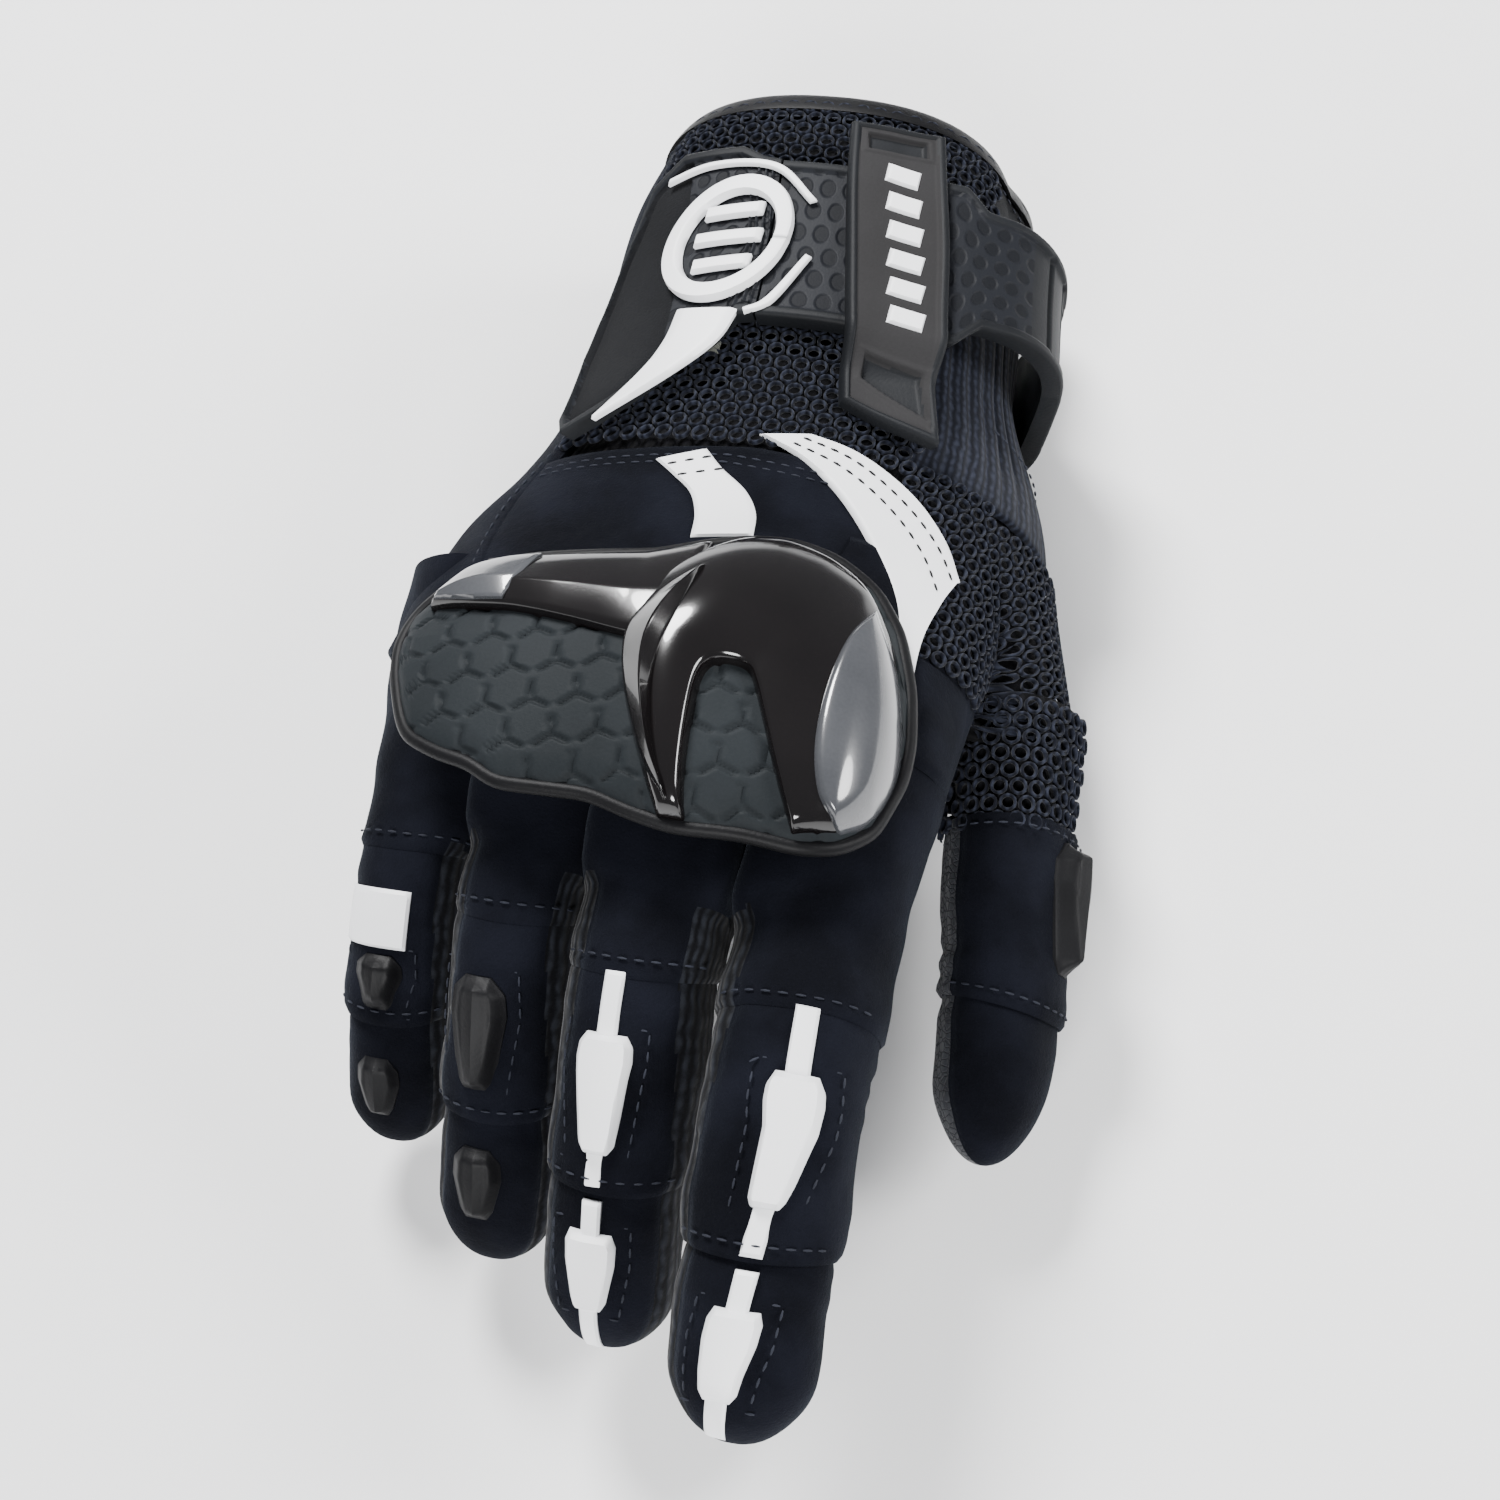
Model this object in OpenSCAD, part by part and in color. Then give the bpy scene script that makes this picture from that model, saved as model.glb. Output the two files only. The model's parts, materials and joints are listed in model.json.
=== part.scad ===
/* [Panels] */
// Thickness of the panels of the hand
panel_t = 2.2; // [1.6:0.1:2.6]
// Thickness of the panels of the fingers
finger_t = 1.9; // [1.4:0.1:2.2]
// Thickness of a reflective piece, a loop patch or a hook patch
patch_t = 0.8; // [0.4:0.1:1]
// Half of the seam between two panels, in degrees round the section
seam = 0.35; // [0.3:0.05:0.6]
// Clearance on each side of a finger joint
joint_gap = 0.4; // [0.3:0.05:0.6]
// How far a finger's middle joint bends from rest
middle_joint_flex = 55; // [30:1:60]
// How far a finger's middle joint straightens from rest
middle_joint_extend = 12; // [0:1:15]
// Turn of a finger's end joint for each degree of its middle joint
end_joint_ratio = 0.6; // [0.4:0.05:0.7]

/* [Index finger] */
// Knuckle centre
index_knuckle = [31, -30, 49]; // [-60:0.5:60]
// Lengths of the three segments, from the knuckle to the tip
index_lengths = [53, 27, 27]; // [20:0.5:60]
// Downward slope of each segment at rest
index_slopes = [-4, 13, 27]; // [-10:1:60]

/* [Middle finger] */
// Knuckle centre
middle_knuckle = [5.1, -24, 55]; // [-60:0.5:60]
// Lengths of the three segments, from the knuckle to the tip
middle_lengths = [46, 31, 28]; // [20:0.5:60]
// Downward slope of each segment at rest
middle_slopes = [7, 28, 42]; // [-10:1:60]

/* [Ring finger] */
// Knuckle centre
ring_knuckle = [-17.6, -20, 52]; // [-60:0.5:60]
// Lengths of the three segments, from the knuckle to the tip
ring_lengths = [43, 29, 27]; // [20:0.5:60]
// Downward slope of each segment at rest
ring_slopes = [8, 36, 44]; // [-10:1:60]

/* [Little finger] */
// Knuckle centre
little_knuckle = [-39.5, -17, 43]; // [-60:0.5:60]
// Lengths of the three segments, from the knuckle to the tip
little_lengths = [37, 22, 24]; // [20:0.5:60]
// Downward slope of each segment at rest
little_slopes = [6, 32, 50]; // [-10:1:60]

/* [Thumb] */
// Centre of the thumb's lower joint
thumb_root = [54, -14, 26]; // [-20:0.5:60]
// Lengths of the two segments
thumb_lengths = [35, 33]; // [25:0.5:40]
// Outward slope of the two segments, in the thumb's own frame
thumb_slopes = [-6, -2]; // [-8:1:8]
// Roll of the thumb's back towards the outside of the hand
thumb_roll = 65; // [60:1:70]
// Drop of the thumb towards the ground
thumb_drop = 11; // [8:1:12]

/* [Cuff and strap] */
// Where the cuff panels end
cuff_end = 104; // [100:1:106]
// Width of the binding on the rim
binding_w = 3.6; // [3:0.1:5]
// Where the strap starts and ends along the wrist
strap_span = [50, 83]; // [48:1:86]
// Thickness of the strap
strap_t = 2.8; // [2:0.1:3.2]
// How far the strap stands off the glove on the thumb side
strap_bulge = 8; // [0:1:9]

/* [Knuckle guard] */
// Thickness of the foam under the guard
foam_t = 1.8; // [1.5:0.1:3]
// Thickness of the textured base
guard_base_t = 3.4; // [2.5:0.1:4]
// Height of the shell's dome over the base
guard_dome = 6.5; // [3:0.5:8]

/* [Hidden] */
suede = [0.09, 0.10, 0.15];
mesh_black = [0.06, 0.07, 0.11];
leather_grey = [0.25, 0.26, 0.28];
rubber_grey = [0.22, 0.25, 0.27];
gloss_black = [0.05, 0.04, 0.05];
reflective = [0.93, 0.93, 0.95];
lining_grey = [0.35, 0.36, 0.4];

// Plan centre of the glove, moved onto the origin
plan_centre = [6.8, -12];

// Hand sections: station y, least x, greatest x, lowest z, highest z
sections = [
    [-34, -52, 46, 34, 70.5],
    [-26, -53.5, 46.5, 30, 70.5],
    [-10, -54.5, 47.5, 19, 68.5],
    [8, -52, 48.5, 8, 64],
    [30, -41.5, 47, 2.5, 60],
    [52, -36, 43, 3.5, 58.5],
    [68, -35, 41, 6, 58],
    [88, -35.5, 39, 6, 58.5],
    [110, -35, 36, 6, 59]
];
// Thumb swelling on the hand: station y, centre x, centre z, radius
swellings = [
    [-14, 53.4, 26, 11.4],
    [0, 46.5, 25.5, 14],
    [15, 38, 24, 18],
    [40, 30, 24, 19],
    [60, 28, 26, 10]
];
upper_power = 2.3;
lower_power = 3;
blend_power = 12;

// Seams of the hand panels, as angles round the section: 0 is the thumb side, 90 the back
seam_thumb_palm = -60;
seam_side_palm = -20;
seam_side_back = 21;
seam_thumb_back = 41.5;
seam_outer_back = 148;
seam_outer_palm = 200;
// Seams of the hand panels along the hand
seam_back = 24;
seam_elastic = [42, 78];
seam_palm = 52;
thumb_mouth = -11.5;

// Knuckle line: the row of knuckles, from which the panels' far edges are measured
function knuckle_line(x) = -24 - 0.187 * (x - 5);
back_reach = 4.5;
palm_setback = 9;

// Fingers: knuckle, lengths, slopes, half widths and half heights at the joints
fingers = [
    [index_knuckle, index_lengths, index_slopes, [12.8, 12.6, 12.4, 12], [11.5, 11, 10.5, 9.4]],
    [middle_knuckle, middle_lengths, middle_slopes, [11.9, 11.8, 11.4, 11], [11.5, 11, 10.3, 9.2]],
    [ring_knuckle, ring_lengths, ring_slopes, [10.3, 10.3, 10.1, 9.8], [11, 10.6, 9.8, 8.8]],
    [little_knuckle, little_lengths, little_slopes, [10.8, 10.4, 9.8, 9.2], [10.5, 9.8, 9, 8.2]]
];
thumb = [[0, 0, 0], thumb_lengths, thumb_slopes, [11.6, 11, 10.6], [10, 9.8, 9]];
index = fingers[0];
middle = fingers[1];
ring = fingers[2];
little = fingers[3];

// Bevels at a joint: the slope of the cut on the palm side and on the back
knuckle_bevel = [31.5, 6.5];
thumb_root_bevel = [40, 9];
thumb_end_bevel = [32.5, 4];
// The bevel between segments k - 1 and k leaves room for the joint's whole travel
function bevel(f, k) =
    let (share = k == 1 ? 1 : end_joint_ratio, rest = f[2][k] - f[2][k - 1])
    [(share * middle_joint_flex + rest) / 2 + 1.5, max(1, (share * middle_joint_extend - rest) / 2 + 1)];
tip_round = 0.42;
finger_power = 2.3;

// ---- Solids from grids of points ----

// Triangles of a grid; a wrapped grid joins its last column to its first
function grid_faces(rows, cols, start, wrap, flip) = [
    for (i = [0:rows - 2], j = [0:(wrap ? cols : cols - 1) - 1])
        let (a = start + i * cols + j, b = start + i * cols + (j + 1) % cols)
        each flip
            ? [[a, a + cols, b], [b, a + cols, b + cols]]
            : [[a, b, a + cols], [b, b + cols, a + cols]]
];

// Triangles of the wall between a loop of points and the same loop, depth indices on
function wall_faces(loop, depth, flip) = [
    for (k = [0:len(loop) - 1])
        let (p = loop[k], q = loop[(k + 1) % len(loop)])
        each flip
            ? [[p, q, p + depth], [q, q + depth, p + depth]]
            : [[q, p, p + depth], [q, p + depth, q + depth]]
];

function flat_list(grid) = [for (row = grid) each row];
function faces_out(top, bottom) =
    cross(top[1][0] - top[0][0], top[0][1] - top[0][0]) * (top[0][0] - bottom[0][0]) > 0;

// A sheet of material between a top grid and a bottom grid
module slab(top, bottom, wrap = false) {
    rows = len(top);
    cols = len(top[0]);
    count = rows * cols;
    flip = !faces_out(top, bottom);
    near_edge = [for (j = [0:cols - 1]) j];
    far_edge = [for (j = [cols - 1:-1:0]) (rows - 1) * cols + j];
    right_edge = [for (i = [1:rows - 2]) i * cols + cols - 1];
    left_edge = [for (i = [rows - 2:-1:1]) i * cols];
    walls = wrap
        ? concat(wall_faces(near_edge, count, flip), wall_faces(far_edge, count, flip))
        : wall_faces(concat(near_edge, right_edge, far_edge, left_edge), count, flip);
    polyhedron(
        points = concat(flat_list(top), flat_list(bottom)),
        faces = concat(grid_faces(rows, cols, 0, wrap, flip),
            grid_faces(rows, cols, count, wrap, !flip), walls));
}

// A closed-ended sleeve: an outer and an inner grid of rings, each closed at a pole
module sleeve(outer, inner, outer_pole, inner_pole) {
    rows = len(outer);
    cols = len(outer[0]);
    count = rows * cols;
    flip = !faces_out(outer, inner);
    last = (rows - 1) * cols;
    poles = [for (j = [0:cols - 1])
        let (p = last + j, q = last + (j + 1) % cols, top = 2 * count, low = top + 1)
        each flip ? [[q, p, top], [p + count, q + count, low]]
            : [[p, q, top], [q + count, p + count, low]]];
    polyhedron(
        points = concat(flat_list(outer), flat_list(inner), [outer_pole, inner_pole]),
        faces = concat(grid_faces(rows, cols, 0, true, flip),
            grid_faces(rows, cols, count, true, !flip),
            wall_faces([for (j = [0:cols - 1]) j], count, flip), poles));
}

// ---- The hand ----

function oval_radius(t, a, b, n) =
    pow(pow(abs(cos(t)) / a, n) + pow(abs(sin(t)) / b, n), -1 / n);
function column(table, k) = [for (row = table) [row[0], row[k]]];
function at(table, k, y) = lookup(y, column(table, k));
function mix(a, b, u) = a + (b - a) * u;

// Distance from the section's centre to the thumb's swelling, 0 where it isn't met
function swelling_radius(t, dx, dz, r) =
    let (along = dx * cos(t) + dz * sin(t), inside = along * along - dx * dx - dz * dz + r * r)
    (inside > 0 && along > 0) ? along + sqrt(inside) : 0;

// A point of the hand's skin, at station y and section angle t, moved outwards by off
function hand_point(y, t, off, swollen = true) =
    let (
        lo_x = at(sections, 1, y), hi_x = at(sections, 2, y),
        lo_z = at(sections, 3, y), hi_z = at(sections, 4, y),
        cx = (lo_x + hi_x) / 2, cz = (lo_z + hi_z) / 2,
        r1 = oval_radius(t, (hi_x - lo_x) / 2 + off, (hi_z - lo_z) / 2 + off,
            sin(t) > 0 ? upper_power : lower_power),
        r2 = swollen ? swelling_radius(t, at(swellings, 1, y) - cx, at(swellings, 2, y) - cz,
            at(swellings, 3, y) + off) : 0,
        r = pow(pow(r1, blend_power) + pow(r2, blend_power), 1 / blend_power)
    )
    [cx + r * cos(t), y, cz + r * sin(t)];

// Height of the back of the hand over a plan point
function back_height(x, y) =
    let (
        lo_x = at(sections, 1, y), hi_x = at(sections, 2, y),
        lo_z = at(sections, 3, y), hi_z = at(sections, 4, y),
        s = min(0.97, abs(x - (lo_x + hi_x) / 2) / ((hi_x - lo_x) / 2))
    )
    (lo_z + hi_z) / 2 + (hi_z - lo_z) / 2 * pow(1 - pow(s, upper_power), 1 / upper_power);

// place(u, v) gives the station and angle of a panel's point; low and high are its two faces
module hand_panel(place, rows, cols, low, high, swollen = true, wrap = false) {
    function grid(off) = [for (i = [0:rows]) [for (j = [0:(wrap ? cols - 1 : cols)])
        let (p = place(i / rows, j / cols)) hand_point(p[0], p[1], off, swollen)]];
    slab(grid(high), grid(low), wrap);
}

// A plain panel between two stations and two seams
module plain_panel(y_lo, y_hi, t_lo, t_hi, rows, cols, low = -panel_t, high = 0, swollen = true) {
    hand_panel(function (u, v) [mix(y_lo, y_hi, u), mix(t_lo + seam, t_hi - seam, v)],
        rows, cols, low, high, swollen);
}

module glove() translate([-plan_centre.x, -plan_centre.y, 0]) children();

// Far edge of a panel of the back or the palm at section angle t, past the knuckle line by reach
function far_edge(t, reach) =
    let (x = hand_point(-24, t, 0, false).x) knuckle_line(x) - reach;

module back_panel() color(suede) glove()
    hand_panel(function (u, v)
        let (t = mix(seam_thumb_back + seam, seam_outer_back - seam, v))
        [mix(far_edge(t, back_reach), seam_back - seam, u), t],
        9, 16, -panel_t, 0, false);

// The mesh's edge on the thumb side steps back over the seam of the back panel
function side_seam(y) = lookup(y, [[seam_back, seam_thumb_back], [seam_back + 4, seam_side_back]]);

module back_mesh_panel() color(mesh_black) glove()
    hand_panel(function (u, v)
        let (y = mix(seam_back + seam, cuff_end, u))
        [y, mix(side_seam(y) + seam, seam_outer_back - seam, v)],
        11, 16, -panel_t, 0);

module thumb_mesh_panel() color(mesh_black) glove()
    hand_panel(function (u, v)
        let (y = mix(thumb_mouth, seam_elastic[0] - seam, u))
        [y, mix(seam_side_palm + seam, side_seam(y) - seam, v)],
        12, 8, -panel_t, 0);

module wrist_elastic() color(mesh_black) glove()
    plain_panel(seam_elastic[0] + seam, seam_elastic[1] - seam, seam_side_palm, seam_side_back, 7, 6);

module cuff_side_panel() color(suede) glove()
    plain_panel(seam_elastic[1] + seam, cuff_end, seam_side_palm, seam_side_back, 4, 6);

module outer_side_panel() color(suede) glove()
    hand_panel(function (u, v)
        [mix(mix(-19, -9, v), cuff_end, u), mix(seam_outer_back + seam, seam_outer_palm - seam, v)],
        14, 6, -panel_t, 0);

module palm_panel() color(leather_grey) glove()
    hand_panel(function (u, v)
        let (t = mix(seam_outer_palm + seam, 360 + seam_thumb_palm - seam, v))
        [mix(far_edge(t, -palm_setback), seam_palm - seam, u), t],
        12, 14, -panel_t, 0);

module cuff_palm_panel() color(suede) glove()
    plain_panel(seam_palm + seam, cuff_end, seam_outer_palm, 360 + seam_side_palm, 6, 14);

module thumb_gusset() color(leather_grey) glove()
    plain_panel(thumb_mouth + 5, seam_palm - seam, seam_thumb_palm, seam_side_palm, 11, 6);

module web_panel() color(suede) glove()
    plain_panel(-24, thumb_mouth - 1, 3, seam_thumb_back, 3, 6, -panel_t, 0, false);

module cuff_binding() color(suede) glove()
    hand_panel(function (u, v) [cuff_end + 0.3 + u * (binding_w - 0.3), 360 * v],
        2, 32, -panel_t - 0.7, 0.7, true, true);

module wrist_lining() color(lining_grey) glove()
    hand_panel(function (u, v) [mix(44, cuff_end, u), 360 * v],
        5, 28, -panel_t - 1.2, -panel_t - 0.5, true, true);

// ---- The knuckle guard ----

// Its plan outline: the edge towards the wrist and the edge towards the fingers
guard_x = [-42, 40.5];
guard_wrist_edge = [[-42, -20], [-40, -11], [-35, -6], [-9, -2], [5.6, 1.5], [15, 4], [25.5, 2],
    [35, -9], [39.5, -22], [40.5, -27]];
guard_finger_edge = [[-42, -28], [-40, -37], [-27, -44], [3, -51], [26, -51], [36, -49],
    [39.5, -40], [40.5, -31]];
// The gloss shell leaves the outer half of the base bare
shell_finger_edge = [[-42, -23], [-30, -17], [-14, -18], [-6, -28], [0, -46], [12, -49],
    [36, -47], [39.5, -38], [40.5, -29]];
guard_start = -26;
guard_rise = [[-42, 0], [8, 0.01], [18, 0.03], [31, 0.07], [41, 0.07]];

// Height of the guard's underside over a plan point
function guard_floor(x, y) =
    back_height(x, max(y, guard_start)) + foam_t + 0.4
    + lookup(x, guard_rise) * max(0, guard_start - y);

// A piece of the guard between two edges, with its faces at heights low and high over the floor
module guard_piece(wrist_edge, finger_edge, cols, rows, low, high, inset = 0) {
    function grid(height) = [for (i = [0:cols]) [for (j = [0:rows])
        let (
            x = mix(guard_x[0] + inset, guard_x[1] - inset, i / cols),
            y = mix(lookup(x, finger_edge) + inset, lookup(x, wrist_edge) - inset, j / rows)
        )
        [x, y, guard_floor(x, y) + height(i / cols, j / rows)]]];
    slab(grid(high), grid(low));
}

function dome(u, v) = pow(max(0, sin(180 * u)), 0.5) * pow(max(0, sin(180 * v)), 0.6);

module knuckle_guard_base() color(rubber_grey) glove()
    guard_piece(guard_wrist_edge, guard_finger_edge, 22, 10,
        function (u, v) 0,
        function (u, v) guard_base_t * (0.55 + 0.45 * dome(u, v)));

module knuckle_guard_shell() color(gloss_black) glove()
    guard_piece(guard_wrist_edge, shell_finger_edge, 22, 8,
        function (u, v) guard_base_t + 0.35,
        function (u, v) guard_base_t + 0.9 + guard_dome * dome(u, v) * (0.4 + 0.6 * u), 1);

function foam_grid(height) = [for (i = [0:14]) [for (j = [0:4])
    let (x = mix(-33, 17, i / 14), y = mix(-22, -7, j / 4))
    [x, y, back_height(x, y) + height]]];
module knuckle_foam() color(mesh_black) glove() slab(foam_grid(foam_t), foam_grid(0.15));

// ---- Reflective pieces, pads and patches of the hand ----

// A band over the skin: route holds [station, angle, half width in degrees] points
module skin_band(route, rows, cols, low, high) {
    count = len(route) - 1;
    function along(u, k) = lookup(u * count, [for (i = [0:count]) [i, route[i][k]]]);
    hand_panel(function (u, v) [along(u, 0), along(u, 1) + along(u, 2) * (2 * v - 1)],
        rows, cols, low, high);
}

module reflective_arc() color(reflective) glove()
    skin_band([[28, 70, 6], [22, 58, 9], [12, 45, 8], [0, 37, 6], [-12, 36, 4], [-26, 39, 2]],
        15, 3, 0.15, 0.15 + patch_t);

module reflective_notch() color(reflective) glove()
    skin_band([[21, 105, 5], [13, 97, 6], [4.5, 89, 6]], 6, 3, 0.15, 0.15 + patch_t);

slider_t = 2.3;
slider_centre = [-8, 37];
slider_size = [32, 24];
slider_corner = 7;

module rounded_plate(size, corner) {
    square([size.x, size.y - 2 * corner], center = true);
    square([size.x - 2 * corner, size.y], center = true);
    for (sx = [-1, 1], sy = [-1, 1])
        translate([sx * (size.x / 2 - corner), sy * (size.y / 2 - corner)]) circle(corner, $fn = 32);
}

module palm_slider() color(gloss_black) glove()
    translate([slider_centre.x, slider_centre.y, 0])
    linear_extrude(slider_t) rounded_plate(slider_size, slider_corner);

module palm_pad() color(leather_grey) glove()
    plain_panel(-6, 16, 232, 296, 6, 8, 0.5, 2.4);

// ---- The wrist strap ----

flap_start = 98;
flap_edge = 0.3;
keeper_angles = [70, 90];

// The strap stands off the glove on the thumb side, where it isn't pulled tight
function bulge(t) = strap_bulge * pow(max(0, cos(min(90, abs(t - 12) * 1.9))), 2);

// A length of strap: place gives its points' stations and angles
module strap_piece(place, rows, cols, low, high, wrap = false) {
    function grid(off) = [for (i = [0:rows]) [for (j = [0:(wrap ? cols - 1 : cols)])
        let (p = place(i / rows, j / cols)) hand_point(p[0], p[1], off + bulge(p[1]), true)]];
    slab(grid(high), grid(low), wrap);
}

strap_low = 1.3;
// The flap's pivot runs along the wrist, at the middle of the strap's thickness
flap_pivot = hand_point(66, flap_start, strap_low + strap_t / 2);
pivot_turn = 7;

module strap_band() color(rubber_grey) glove()
    strap_piece(function (u, v) [mix(strap_span[0], strap_span[1], v), mix(-48, flap_start - pivot_turn, u)],
        22, 3, strap_low, strap_low + strap_t);

// The flap widens past its start and runs out to a point on the outer side
function flap_low(t) = lookup(t, [[98, 50], [104, 49.5], [108, 45.5], [116, 40], [135, 27], [146, 19.5], [149, 23], [152, 42]]);
function flap_high(t) = lookup(t, [[98, 85], [104, 86], [112, 88.5], [134, 88], [143, 82], [149, 66], [152, 48]]);
flap_end = 152;

module flap_layer(t_lo, t_hi, inset, low, high, rows = 14, cols = 5) {
    strap_piece(function (u, v)
        let (t = mix(t_lo, t_hi, u))
        [mix(flap_low(t) + inset, flap_high(t) - inset, v), t],
        rows, cols, low, high);
}

module strap_flap() color(rubber_grey) glove()
    flap_layer(flap_start + flap_edge, flap_end, 0, 2.3, 2.3 + strap_t - 0.6);

module strap_emblem() color(reflective) glove()
    strap_piece(function (u, v)
        let (r = mix(7, 9.4, u)) [66.5 + 1.5 * r * sin(360 * v), 112 + 1.7 * r * cos(360 * v)],
        1, 24, strap_t + 1.9, strap_t + 2.9, true);

module hook_patch() color(lining_grey) glove()
    flap_layer(112, 144, 4, 1.25, 1.85, 11, 4);

module loop_patch() color(lining_grey) glove()
    plain_panel(38, 88, 108, 172, 6, 10, 0.2, 0.65);

// The keeper is a tab over the strap, sewn at both its ends and slanted towards the thumb
module strap_keeper() color(rubber_grey) glove()
    strap_piece(function (u, v)
        let (y = mix(30 - 4 * v, 94, u))
        [y, mix(keeper_angles[0], keeper_angles[1], v) - (94 - y) * 0.2],
        10, 4, strap_low + strap_t + 0.4, strap_low + strap_t + 2.4);

// ---- Fingers and thumb ----

function step(length, slope) = [0, -length * cos(slope), -length * sin(slope)];
// Joint k of a finger, counted from the knuckle
function joint(f, k) = k == 0 ? f[0] : joint(f, k - 1) + step(f[1][k - 1], f[2][k - 1]);

// The frame of segment k: its joint at the origin, the segment along -Y and its back on +Z
module segment(f, k) glove() translate(joint(f, k)) rotate([f[2][k], 0, 0]) children();
module thumb_segment(k) glove() translate(thumb_root) rotate([thumb_drop, 0, 0])
    rotate([0, thumb_roll, 0]) translate(joint(thumb, k)) rotate([thumb[2][k], 0, 0]) children();

// A point of segment k's skin, u of the way along it, at section angle t, moved outwards by off
function segment_radius(f, k, u, t, off) =
    oval_radius(t, mix(f[3][k], f[3][k + 1], u) + off, mix(f[4][k], f[4][k + 1], u) + off, finger_power);
function bevel_depth(bevel, z) = joint_gap + (z < 0 ? -z * tan(bevel[0]) : z * tan(bevel[1]));

// Half of a segment's sleeve, from angle t_lo to t_hi, with a bevel cut at each end
module half_sleeve(f, k, t_lo, t_hi, near_bevel, far_bevel, rows = 5, cols = 10) {
    length = f[1][k];
    function grid(off) = [for (i = [0:rows]) [for (j = [0:cols])
        let (
            t = mix(t_lo + seam, t_hi - seam, j / cols),
            z = segment_radius(f, k, 0.5, t, 0) * sin(t),
            s = mix(bevel_depth(near_bevel, z), length - bevel_depth(far_bevel, z), i / rows),
            r = segment_radius(f, k, s / length, t, off)
        )
        [r * cos(t), -s, r * sin(t)]]];
    slab(grid(0), grid(-finger_t));
}

// A closed fingertip: the section shrinks to a pole over the last part of its length
module tip_sleeve(f, k, near_bevel, rows = 9, cols = 18) {
    length = f[1][k];
    function shrink(u) = u < 1 - tip_round ? 1
        : sqrt(max(0, 1 - pow((u - 1 + tip_round) / tip_round, 2)));
    function rings(off) = [for (i = [0:rows]) [for (j = [0:cols - 1])
        let (
            t = 360 * j / cols,
            z = segment_radius(f, k, 0, t, 0) * sin(t),
            start = bevel_depth(near_bevel, z),
            reach = length + off,
            e = i / (rows + 1),
            u = mix(start / reach, 1, 1 - pow(1 - e, 1.6)),
            r = segment_radius(f, k, u, t, off) * shrink(u)
        )
        [r * cos(t), -u * reach, r * sin(t)]]];
    sleeve(rings(0), rings(-finger_t), [0, -length, 0], [0, -length + finger_t, 0]);
}

// A plate on a segment's back: widths holds [distance along it, half width] points
module finger_plate(f, k, widths, thick, rows = 6, cols = 4) {
    s_lo = widths[0][0];
    s_hi = widths[len(widths) - 1][0];
    function skin(x, s) =
        let (
            u = s / f[1][k],
            a = mix(f[3][k], f[3][k + 1], u),
            b = mix(f[4][k], f[4][k + 1], u)
        )
        b * pow(1 - pow(min(0.95, abs(x) / a), finger_power), 1 / finger_power);
    function grid(height) = [for (i = [0:rows]) [for (j = [0:cols])
        let (
            s = mix(s_lo, s_hi, i / rows),
            v = 2 * j / cols - 1,
            x = v * lookup(s, widths),
            swell = 0.5 + 0.5 * (1 - v * v) * sin(180 * i / rows)
        )
        [x, -s, skin(x, s) + 0.15 + height * swell]]];
    slab(grid(thick), grid(0));
}

module finger_base(f, back) color(suede) segment(f, 0)
    half_sleeve(f, 0, back ? 0 : 180, back ? 180 : 360, knuckle_bevel, bevel(f, 1));
module finger_mid(f, back) color(back ? suede : leather_grey) segment(f, 1)
    half_sleeve(f, 1, back ? 0 : 180, back ? 180 : 360, bevel(f, 1), bevel(f, 2), 4);
module finger_tip(f) color(suede) segment(f, 2) tip_sleeve(f, 2, bevel(f, 2));
module finger_mid_guard(f, paint, w) color(paint) segment(f, 1)
    finger_plate(f, 1, [[2.5, w * 0.6], [7, w], [f[1][1] - 3.5, w * 0.55]], 2.6);
module finger_tip_guard(f, paint, w) color(paint) segment(f, 2)
    finger_plate(f, 2, [[2.5, w * 0.8], [6, w], [13.5, w * 0.6]], 1.8, 5, 4);

module index_base_back() finger_base(index, true);
module index_base_palm() finger_base(index, false);
module index_mid_back() finger_mid(index, true);
module index_mid_palm() finger_mid(index, false);
module index_tip_stall() finger_tip(index);
module index_mid_guard() finger_mid_guard(index, reflective, 6.2);
module index_tip_guard() finger_tip_guard(index, reflective, 4.8);

module middle_base_back() finger_base(middle, true);
module middle_base_palm() finger_base(middle, false);
module middle_mid_back() finger_mid(middle, true);
module middle_mid_palm() finger_mid(middle, false);
module middle_tip_stall() finger_tip(middle);
module middle_mid_guard() finger_mid_guard(middle, reflective, 5.8);
module middle_tip_guard() finger_tip_guard(middle, reflective, 4.6);

module ring_base_back() finger_base(ring, true);
module ring_base_palm() finger_base(ring, false);
module ring_mid_back() finger_mid(ring, true);
module ring_mid_palm() finger_mid(ring, false);
module ring_tip_stall() finger_tip(ring);
module ring_mid_guard() finger_mid_guard(ring, gloss_black, 4.8);
module ring_tip_guard() finger_tip_guard(ring, gloss_black, 4);

module little_base_back() finger_base(little, true);
module little_base_palm() finger_base(little, false);
module little_mid_back() finger_mid(little, true);
module little_mid_palm() finger_mid(little, false);
module little_tip_stall() finger_tip(little);
module little_mid_guard() color(gloss_black) segment(little, 1)
    finger_plate(little, 1, [[12, 2.8], [14.5, 4.4], [19, 2.6]], 2.4);
module little_tip_guard() finger_tip_guard(little, gloss_black, 3.8);
module little_patch() color(reflective) segment(little, 1)
    finger_plate(little, 1, [[2.8, 7.5], [10.6, 7.5]], patch_t, 3, 6);

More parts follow.
